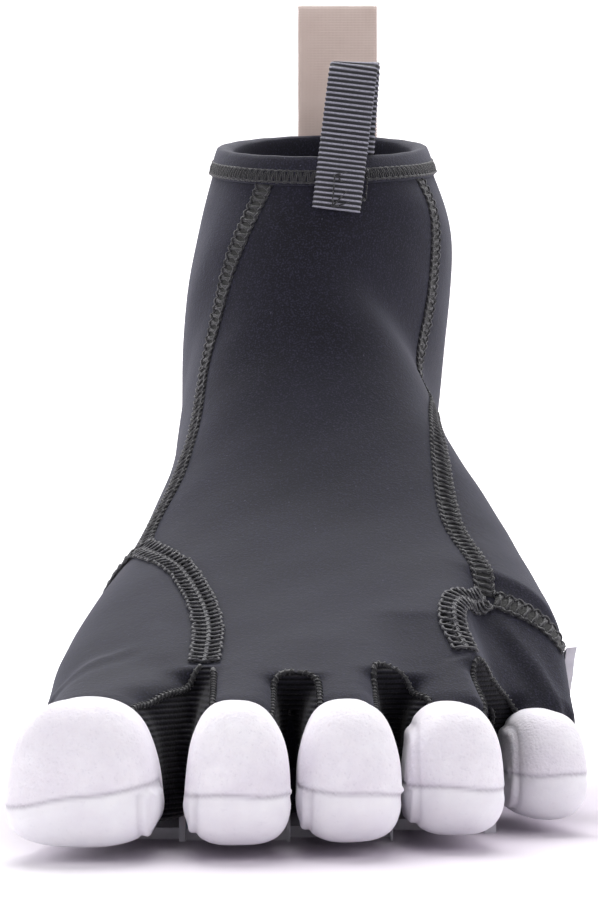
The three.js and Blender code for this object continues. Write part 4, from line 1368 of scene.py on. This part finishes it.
def build_toe_end(toe):
    obj = add_piece("toe_end_work", *toe_end_shell(toe))
    remesh = obj.modifiers.new("remesh", "REMESH")
    remesh.mode = "VOXEL"
    remesh.voxel_size = CAP_VOXEL / 1000
    p, tri = triangles_of(obj)
    bpy.data.objects.remove(obj)
    p = relax(p, tri, 8)
    n = vertex_normals(p, tri)
    x, t, z = p.T
    share = (x - toe.mid(t)) / toe.half_at(t)
    side = STRIP_SIDE[toe.number]
    over = z - parting(toe, x, t)
    move = 0.1 * np.sin(x * 0.5 + toe.number) * np.sin(z * 0.4 + t * 0.3)
    move -= rounded(over, 0.55) * 1.1
    move -= 0.2 * np.exp(-((over + 0.9) / 0.8) ** 2) * (over < 0)
    # The flange at the side of the pod, and on the two outer toes up the side of the cap.
    top = 30 if toe.number >= 4 else TOE_SPLIT + 0.6
    at_side = smoothstep(share * side, 0.80, 0.84) * (z < top) * (np.abs(n[:, 2]) < 0.8)
    ridge_line = np.exp(-(((share * side - 0.86) * toe.half_at(t)) / 0.45) ** 2) * (z < top) * (z > 4)
    move += 0.25 * at_side * (over < 0) + 0.45 * ridge_line * (t < toe.tip + CAP_LENGTH)
    beside = np.exp(-(((share * side - 0.79) * toe.half_at(t)) / 0.4) ** 2) * (z < top) * (z > 4)
    move -= 0.25 * beside * (t < toe.tip + CAP_LENGTH)
    # Where shade is painted: the groove along the parting line and the dip beside the flange.
    dark = np.exp(-(over / 0.42) ** 2) * 0.55 + 0.2 * beside
    nub_x = toe.mid(toe.tip + 5) + NUB_SIDE[toe.number] * toe.half_at(toe.tip + 5) * 0.93
    nub = np.array([nub_x, toe.tip + 5, TOE_SPLIT + 0.4])
    nearby = ((p - nub) ** 2).sum(1)
    move += 0.8 * np.exp(-nearby / 0.75 ** 2)
    # Grip ridges under the pod.
    under = smoothstep(-n[:, 2], 0.75, 0.95)
    move -= under * 0.45 * smoothstep(np.sin((t - toe.tip) * 2 * np.pi / 5), 0.55, 0.85)
    move -= rounded(toe.tip + CAP_LENGTH - t, 0.7) * (over > 0)
    p = p + n * move[:, None]
    return np.hstack([p, vertex_normals(p, tri), over[:, None], t[:, None], dark[:, None]]), tri


def mark_groove_shade(obj, part):
    # the mask of painted shade in the grooves, read by the rubber materials
    mark = obj.data.attributes.new("groove_shade", "FLOAT", "POINT")
    mark.data.foreach_set("value", np.tile(part[0][:, 8], 2))


for toe in TOES:
    end = build_toe_end(toe)
    upper_half, lower_half, _ = split(end, lambda r: r[:, 6])
    cap_part, _, _ = split(upper_half, lambda r: toe.tip + CAP_LENGTH - r[:, 7])
    pod_part, _, _ = split(lower_half, lambda r: toe.hinge + 8 - r[:, 7])
    cap_part, pod_part = largest(cap_part), largest(pod_part)
    cap = cloth_piece(f"{toe.body}_cap_shell", cap_part, RUBBER)
    mark_groove_shade(cap, cap_part)
    settle(cap, toe.body, "toe_rubber", f"{toe.body}_cap", material=CAP_LOOK)
    pod = cloth_piece(f"{toe.body}_pod_shell", pod_part, RUBBER)
    mark_groove_shade(pod, pod_part)
    settle(pod, toe.body, "toe_rubber", f"{toe.body}_pod", material=POD_LOOK)

# ---------- the collar's binding ----------
BINDING_THICK = 0.95
BINDING_STITCH_DEPTH = 5.0  # how far below the rim the cover stitches run


def below_rim(v, depth):
    """s of points depth millimetres down the skin from the rim, for arrays v and depth."""
    v, depth = np.broadcast_arrays(np.asarray(v, float), np.asarray(depth, float))
    grid = np.linspace(RIM, 7, 61)
    result = np.empty(v.shape)
    for k, (angle, d) in enumerate(zip(v.ravel(), depth.ravel())):
        line = form_points(grid, angle)
        run = np.concatenate([[0], np.cumsum(np.linalg.norm(np.diff(line, axis=0), axis=1))])
        result.ravel()[k] = np.interp(d, run, grid)
    return result


def rim_frame(v):
    n, ds, _ = form_normals(np.full_like(v, RIM - 0.01), v)
    up = ds / np.linalg.norm(ds, axis=-1, keepdims=True)
    return form_points(np.full_like(v, float(RIM)), v), n, up


def rim_point(v, depth, out):
    """A point at a depth below the rim, or above it for a negative depth, moved out of the skin."""
    v, depth, out = [np.atleast_1d(np.asarray(k, float)) for k in (v, depth, out)]
    v, depth, out = np.broadcast_arrays(v, depth, out)
    base, n, up = rim_frame(v)
    s = below_rim(v, np.maximum(depth, 0))
    on_form = lifted(s, v, out)
    beyond = base + n * out[:, None] - up * depth[:, None]
    return np.where((depth > 0)[:, None], on_form, beyond)


def build_binding():
    v = np.linspace(-1, 1, 241)[:-1]
    b = BINDING_THICK
    inner = PANEL + b
    middle = (b - inner) / 2
    # Depth below the rim and distance out of the skin: down the outside, over the rim, down inside.
    profile = [
        (7, -0.1), (7.05, 0.45), (6.8, 0.82), (6.0, b), (4.8, b + 0.12), (3.4, b + 0.05),
        (2, b + 0.1), (0.6, b),
    ]
    for a in np.linspace(0.12, 0.88, 9) * np.pi:
        profile.append((-1.25 * np.sin(a), middle + (b - middle) * np.cos(a)))
    profile += [
        (0.6, -inner), (2, -inner - 0.1), (4, -inner), (5.6, -inner), (6.2, -inner + 0.4),
        (6.2, -PANEL + 0.2),
    ]
    rings = [rim_point(v, depth + 0.05 * np.sin(v * 60), out) for depth, out in profile]
    points = np.stack(rings, 0).reshape(-1, 3)
    count, rows = len(v), len(profile)
    faces = tube_faces(rows, count, closed=True)
    return add_piece("collar_edge", points, faces)


settle(build_binding(), "boot", "binding", "collar_binding", material=BINDING_LOOK)
ring_v = np.linspace(-0.999, 0.999, 300)


def rim_path(depth, out):
    return Path(rim_point(ring_v, depth, out), smooth=2, project=False)


def zigzag(path, width, pitch, radius, lift):
    count = int(path.length / pitch)
    pitch = path.length / count
    threads = []
    for phase in (0, 0.5):
        knots = []
        for k in range(count * 2 + 1):
            side = 1 if k % 2 else -1
            u = min(k * pitch / 2 + phase * pitch / 2, path.length)
            for end in (-0.12, 0.12):
                knots.append((u + end * pitch, side * width / 2, lift - 0.15))
            knots.append((u + 0.25 * pitch, 0, lift + 0.1 + 0.1 * phase))
        points = path.place(curve_through(knots, 3), project=False)
        threads.append((points, radius))
    for side in (-1, 1):
        u = np.arange(0, path.length, 0.5)
        a = side * (width / 2) + 0.14 * np.sin(u * 2 * np.pi / pitch)
        h = lift + 0.12 * np.cos(u * 2 * np.pi / pitch)
        threads.append((path.place(np.stack([u, a, h], 1), project=False), radius))
    return threads


cover = thread_piece("collar_cover_stitches", zigzag(
    rim_path(BINDING_STITCH_DEPTH, BINDING_THICK), width=3.0, pitch=2.2, radius=0.22, lift=0.16))
settle(cover, "boot", "seam_thread", material=EDGE_LOOK)

# ---------- pull loops ----------
def ribbon(name, centre, facing, width, thick, rib, depth):
    """A woven ribbon along centre points. facing is the outer side's direction at each point."""
    line = np.asarray(centre, float)
    tangent = np.gradient(line, axis=0)
    tangent /= np.linalg.norm(tangent, axis=1, keepdims=True)
    side = np.cross(tangent, facing)
    side /= np.linalg.norm(side, axis=1, keepdims=True)
    out = np.cross(side, tangent)
    run = np.concatenate([[0], np.cumsum(np.linalg.norm(np.diff(line, axis=0), axis=1))])
    wave = depth * np.cos(2 * np.pi * run / rib)
    across = np.array([-0.5, -0.485, -0.45, -0.4, -0.2, 0, 0.2, 0.4, 0.45, 0.485, 0.5])
    loops = []
    for sign in (1, -1):
        for a in across[::sign]:
            edge = 1 - abs(a) * 2
            full = min(1.0, (edge / 0.06)) ** 0.5 if edge < 0.06 else 1.0
            if abs(a) == 0.5:
                full = 0.0
            ribbed = wave * (0.35 if abs(a) > 0.44 else 1.0)
            height = sign * (thick / 2 * max(full, 0.35) + ribbed * (full > 0.5))
            wobble = 0.12 * np.cos(2 * np.pi * run / rib + 1) * (abs(a) > 0.44) * np.sign(a)
            loops.append(line + side * (a * width + wobble)[:, None] + out * np.asarray(height)[:, None])
    points = np.stack(loops, 1).reshape(-1, 3)
    obj = add_piece(name, points, capped_faces(len(line), len(across) * 2))
    # the rib attribute also places the painted highlights on the webbing's crests
    rib_at = obj.data.attributes.new("rib", "FLOAT", "POINT")
    rib_at.data.foreach_set("value", np.repeat(0.5 + 0.5 * wave / depth, len(across) * 2))
    return obj


TURN_PER_MM = 0.011  # about how much v changes per millimetre of x at the rim


def loop_line(v, down_out, down_in, out_first, out_last, top, lean, back_shift, swell, radius):
    """Centre line of a loop that is sewn on at both ends.

    down_out and down_in are how far its ends reach down the skin. out_first and out_last are how
    far each end's centre line lies out of the skin, in the order in which the loop runs.
    """
    base, n, _ = (k[0] for k in rim_frame(np.array([v])))
    flat_n = np.array([0.0, np.sign(n[1]), 0.0])
    low, high = base[2] + 1.0, top

    def sewn(depths, out, shift):
        """A sewn end: it follows the skin down and keeps to the loop's own slant."""
        angle = np.full(len(depths), v)
        for _ in range(4):
            line = rim_point(angle, depths, out)
            wanted = base[0] + shift + lean * (line[:, 2] - low)
            angle = angle - (wanted - line[:, 0]) * TURN_PER_MM * flat_n[1]
        return rim_point(angle, depths, out)

    first = sewn(np.linspace(down_out, 1.0, 12), np.linspace(*out_first, 12), 0.0)
    last = sewn(np.linspace(1.0, down_in, 12), np.linspace(*out_last, 12), back_shift)
    rise = np.linspace(0, 1, 14)
    reach = high - radius - low
    up_leg, down_leg = [], []
    for f in rise[1:]:
        z = low + reach * f
        bulge = swell * np.sin(np.pi * f) * 0.5
        middle = (out_first[1] + out_last[0]) / 2
        a = out_first[1] + (middle + radius - out_first[1]) * f + bulge
        b = out_last[0] + (middle - radius - out_last[0]) * f - bulge
        x = base[0] + lean * (z - low)
        up_leg.append([x, base[1] + flat_n[1] * a, z])
        down_leg.append([x + back_shift * (1 - f * 0.6), base[1] + flat_n[1] * b, z])
    fold = []
    centre_x = base[0] + lean * (high - radius - low)
    centre = np.array([centre_x, base[1] + flat_n[1] * middle, high - radius])
    for a in np.linspace(0, np.pi, 11)[1:-1]:
        shift = back_shift * 0.4 * (1 - np.cos(a)) / 2
        x, y = shift + lean * radius * np.sin(a), flat_n[1] * radius * np.cos(a)
        fold.append(centre + [x, y, radius * np.sin(a)])
    points = np.vstack([first, up_leg, fold, down_leg[::-1], last])
    return resample(points, 0.19, 3)


def loop_facing(line):
    """Directions square to a loop's line, turned away from the loop's middle."""
    tangent = np.gradient(line, axis=0)
    tangent[:, 0] = 0
    tangent /= np.linalg.norm(tangent, axis=1, keepdims=True)
    return np.stack([np.zeros(len(line)), tangent[:, 2], -tangent[:, 1]], 1)


def v_at_x(x, back=False):
    """v of the rim's point at x, on its front or its back."""
    grid = np.linspace(0.5, 1.0, 200) if back else np.linspace(-0.4, 0.4, 400)
    return float(grid[np.argmin(np.abs(form_points(np.full_like(grid, float(RIM)), grid)[:, 0] - x))])


front_v = v_at_x(8.5)
front_line = loop_line(
    front_v, down_out=14.5, down_in=13.0, out_first=(1.2, 1.75), out_last=(-4.75, -4.2),
    top=189.9, lean=0.123, back_shift=2.0, swell=1.0, radius=2.4)
facing = -loop_facing(front_line)
front = ribbon("front_loop_ribbon", front_line, facing, width=12.5, thick=1.05, rib=1.33, depth=0.2)
front.data.materials.append(BLACK_WEB_LOOK)
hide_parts("front_pull_loop", "front_loop_outer_tab", "front_loop_inner_tab")
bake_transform(front)

heel_v = v_at_x(8.8, back=True)
heel_line = loop_line(
    heel_v, down_out=20.0, down_in=19.0, out_first=(3.0, 3.9), out_last=(2.2, 1.35),
    top=231.9, lean=0.0, back_shift=0.0, swell=3.0, radius=1.6)
facing = loop_facing(heel_line)
heel = ribbon("heel_loop_ribbon", heel_line, facing, width=24, thick=1.3, rib=0.8, depth=0.025)
heel.data.materials.append(PALE_WEB_LOOK)
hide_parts("heel_pull_loop", "heel_loop_tab")
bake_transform(heel)


def box_stitch(name, corner_v, width, depths, out):
    """Rows of lock stitches along the edges of a sewn end, and a cross between them."""
    _, n, up = (k[0] for k in rim_frame(np.array([corner_v])))
    side = np.cross(up, n)
    side /= np.linalg.norm(side)

    def at(a, depth):
        return rim_point(corner_v, depth, out)[0] + side * a

    near, far = depths
    half = width / 2
    corners = [at(-half, near), at(half, near), at(half, far), at(-half, far)]
    lines = [(corners[k], corners[(k + 1) % 4]) for k in range(4)]
    lines += [(corners[0], corners[2]), (corners[1], corners[3])]
    threads = []
    for a, b in lines:
        count = max(int(np.linalg.norm(b - a) / 1.9), 1)
        for k in range(count):
            f = (k + np.array([0.08, 0.3, 0.5, 0.7, 0.92])) / count
            lift = np.array([-0.25, 0.12, 0.2, 0.12, -0.25])
            threads.append((a + (b - a) * f[:, None] + n * lift[:, None], 0.22))
    return thread_piece(name, threads)


front_box = box_stitch("front_loop_stitches", front_v, width=9.6, depths=(4.5, 13.0), out=2.15)
settle(front_box, "boot", "seam_thread", material=EDGE_LOOK)
heel_box = box_stitch("heel_loop_stitches", heel_v, width=20.5, depths=(4.0, 18.0), out=4.15)
settle(heel_box, "boot", "pale_webbing", material=PALE_WEB_LOOK)

# ---------- footbed, board and outsole ----------
def side_x(t, z, side):
    """x of the form's side at t and z."""
    near, far = 0.0, 75.0 * side
    for _ in range(22):
        middle = (near + far) / 2
        inside = form_place(np.array([[middle, t, z]]))[2][0] < 1
        near, far = (middle, far) if inside else (near, middle)
    return near


FOOTBED_T = (52.5, 234.5)
FOOTBED_X = (-29.6, 30.0)
FOOTBED_Z = (7.0, 11.4)
FOOTBED_MARGIN = 8.5  # from the form's side to the footbed's


def build_footbed():
    low, high = FOOTBED_Z
    rings = []
    stations = np.concatenate([[52.8, 53.4, 55], np.linspace(58, 229, 50), [232, 233.6, 234.2]])
    for t in stations:
        end = min(t - FOOTBED_T[0], FOOTBED_T[1] - t)
        pull = (1 - (1 - np.clip(end / 22, 0, 1)) ** 2.3) ** (1 / 2.3)
        left = max(side_x(np.clip(t, 58, 229), 12, -1) + FOOTBED_MARGIN, FOOTBED_X[0])
        right = min(side_x(np.clip(t, 58, 229), 12, 1) - FOOTBED_MARGIN, FOOTBED_X[1])
        middle, half = (left + right) / 2, (right - left) / 2 * max(pull, 0.12)
        across = np.array([-1, -0.985, -0.94, -0.85, -0.6, -0.3, 0, 0.3, 0.6, 0.85, 0.94, 0.985, 1])
        thick = (high - low - 0.9) * (0.55 + 0.45 * pull)
        cup = 0.9 * np.abs(across) ** 4 + 0.12 * np.sin(t * 0.5) * (np.abs(across) < 0.9)
        top = low + thick * (1 - rounded(1 - np.abs(across), 0.09) / 0.09 * 0.6) + cup
        bottom = np.full(len(across), low)
        upper = np.stack([middle + half * across, np.full(len(across), t), top], 1)
        lower = np.stack([middle + half * across[::-1] * 0.985, np.full(len(across), t), bottom], 1)
        rings.append(np.vstack([upper, lower]))
    points = np.concatenate(rings)
    return add_piece("footbed_pad", points, capped_faces(len(stations), rings[0].shape[0]))


pad = settle(build_footbed(), "boot", "foam", "footbed", material=foam_material())


def finish_node(name, look):
    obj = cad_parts[name]
    obj.data.materials.clear()
    obj.data.materials.append(look)


finish_node("outsole", SOLE_LOOK)
finish_node("lasting_board", board_material())

# ---------- floor, light and camera ----------
def backdrop():
    """A floor that curves up into a wall behind."""
    profile = [(-2.2, 0), (1.0, 0)]
    for a in np.linspace(0, np.pi / 2, 12)[1:]:
        profile.append((1.0 + 0.8 * np.sin(a), 0.8 - 0.8 * np.cos(a)))
    profile.append((1.8, 3.2))
    x = np.linspace(-2.6, 2.6, 9)
    points = [(a, y, z) for y, z in profile for a in x]
    faces = []
    for i in range(len(profile) - 1):
        for k in range(len(x) - 1):
            first = i * len(x) + k
            faces.append((first, first + 1, first + len(x) + 1, first + len(x)))
    mesh = bpy.data.meshes.new("floor")
    mesh.from_pydata(points, [], faces)
    mesh.polygons.foreach_set("use_smooth", [True] * len(mesh.polygons))
    obj = bpy.data.objects.new("floor", mesh)
    bpy.context.scene.collection.objects.link(obj)
    obj.data.materials.append(floor_material())


def area_light(name, place, target, size, power):
    data = bpy.data.lights.new(name, "AREA")
    data.shape = "RECTANGLE"
    data.size, data.size_y = size
    data.energy = power
    obj = bpy.data.objects.new(name, data)
    obj.location = place
    direction = Vector(target) - Vector(place)
    obj.rotation_euler = direction.to_track_quat("-Z", "Y").to_euler()
    bpy.context.scene.collection.objects.link(obj)


backdrop()
area_light("top_softbox", (0.0, 0.42, 1.15), (0, -0.05, 0.05), (1.1, 0.8), 16.5)
area_light("left_softbox", (-1.1, -0.5, 0.7), (0, 0, 0.08), (0.8, 0.8), 4.2)
area_light("right_softbox", (1.1, -0.4, 0.8), (0, 0, 0.08), (0.8, 0.8), 3.7)
world = bpy.data.worlds.new("studio")
world.use_nodes = True
world.node_tree.nodes["Background"].inputs["Color"].default_value = (1.0, 0.99, 1.0, 1)
world.node_tree.nodes["Background"].inputs["Strength"].default_value = 0.46
bpy.context.scene.world = world
bpy.context.scene.view_settings.view_transform = "Standard"

camera_data = bpy.data.cameras.new("camera")
camera_data.sensor_width = 36
camera_data.lens = 77.3
camera_data.shift_y = 0.178
camera_data.clip_start = 0.05
camera = bpy.data.objects.new("camera", camera_data)
camera.location = (-0.0046, -0.4843, 0.0465)
camera.rotation_euler = (math.radians(90), 0, 0)
bpy.context.scene.collection.objects.link(camera)
bpy.context.scene.camera = camera
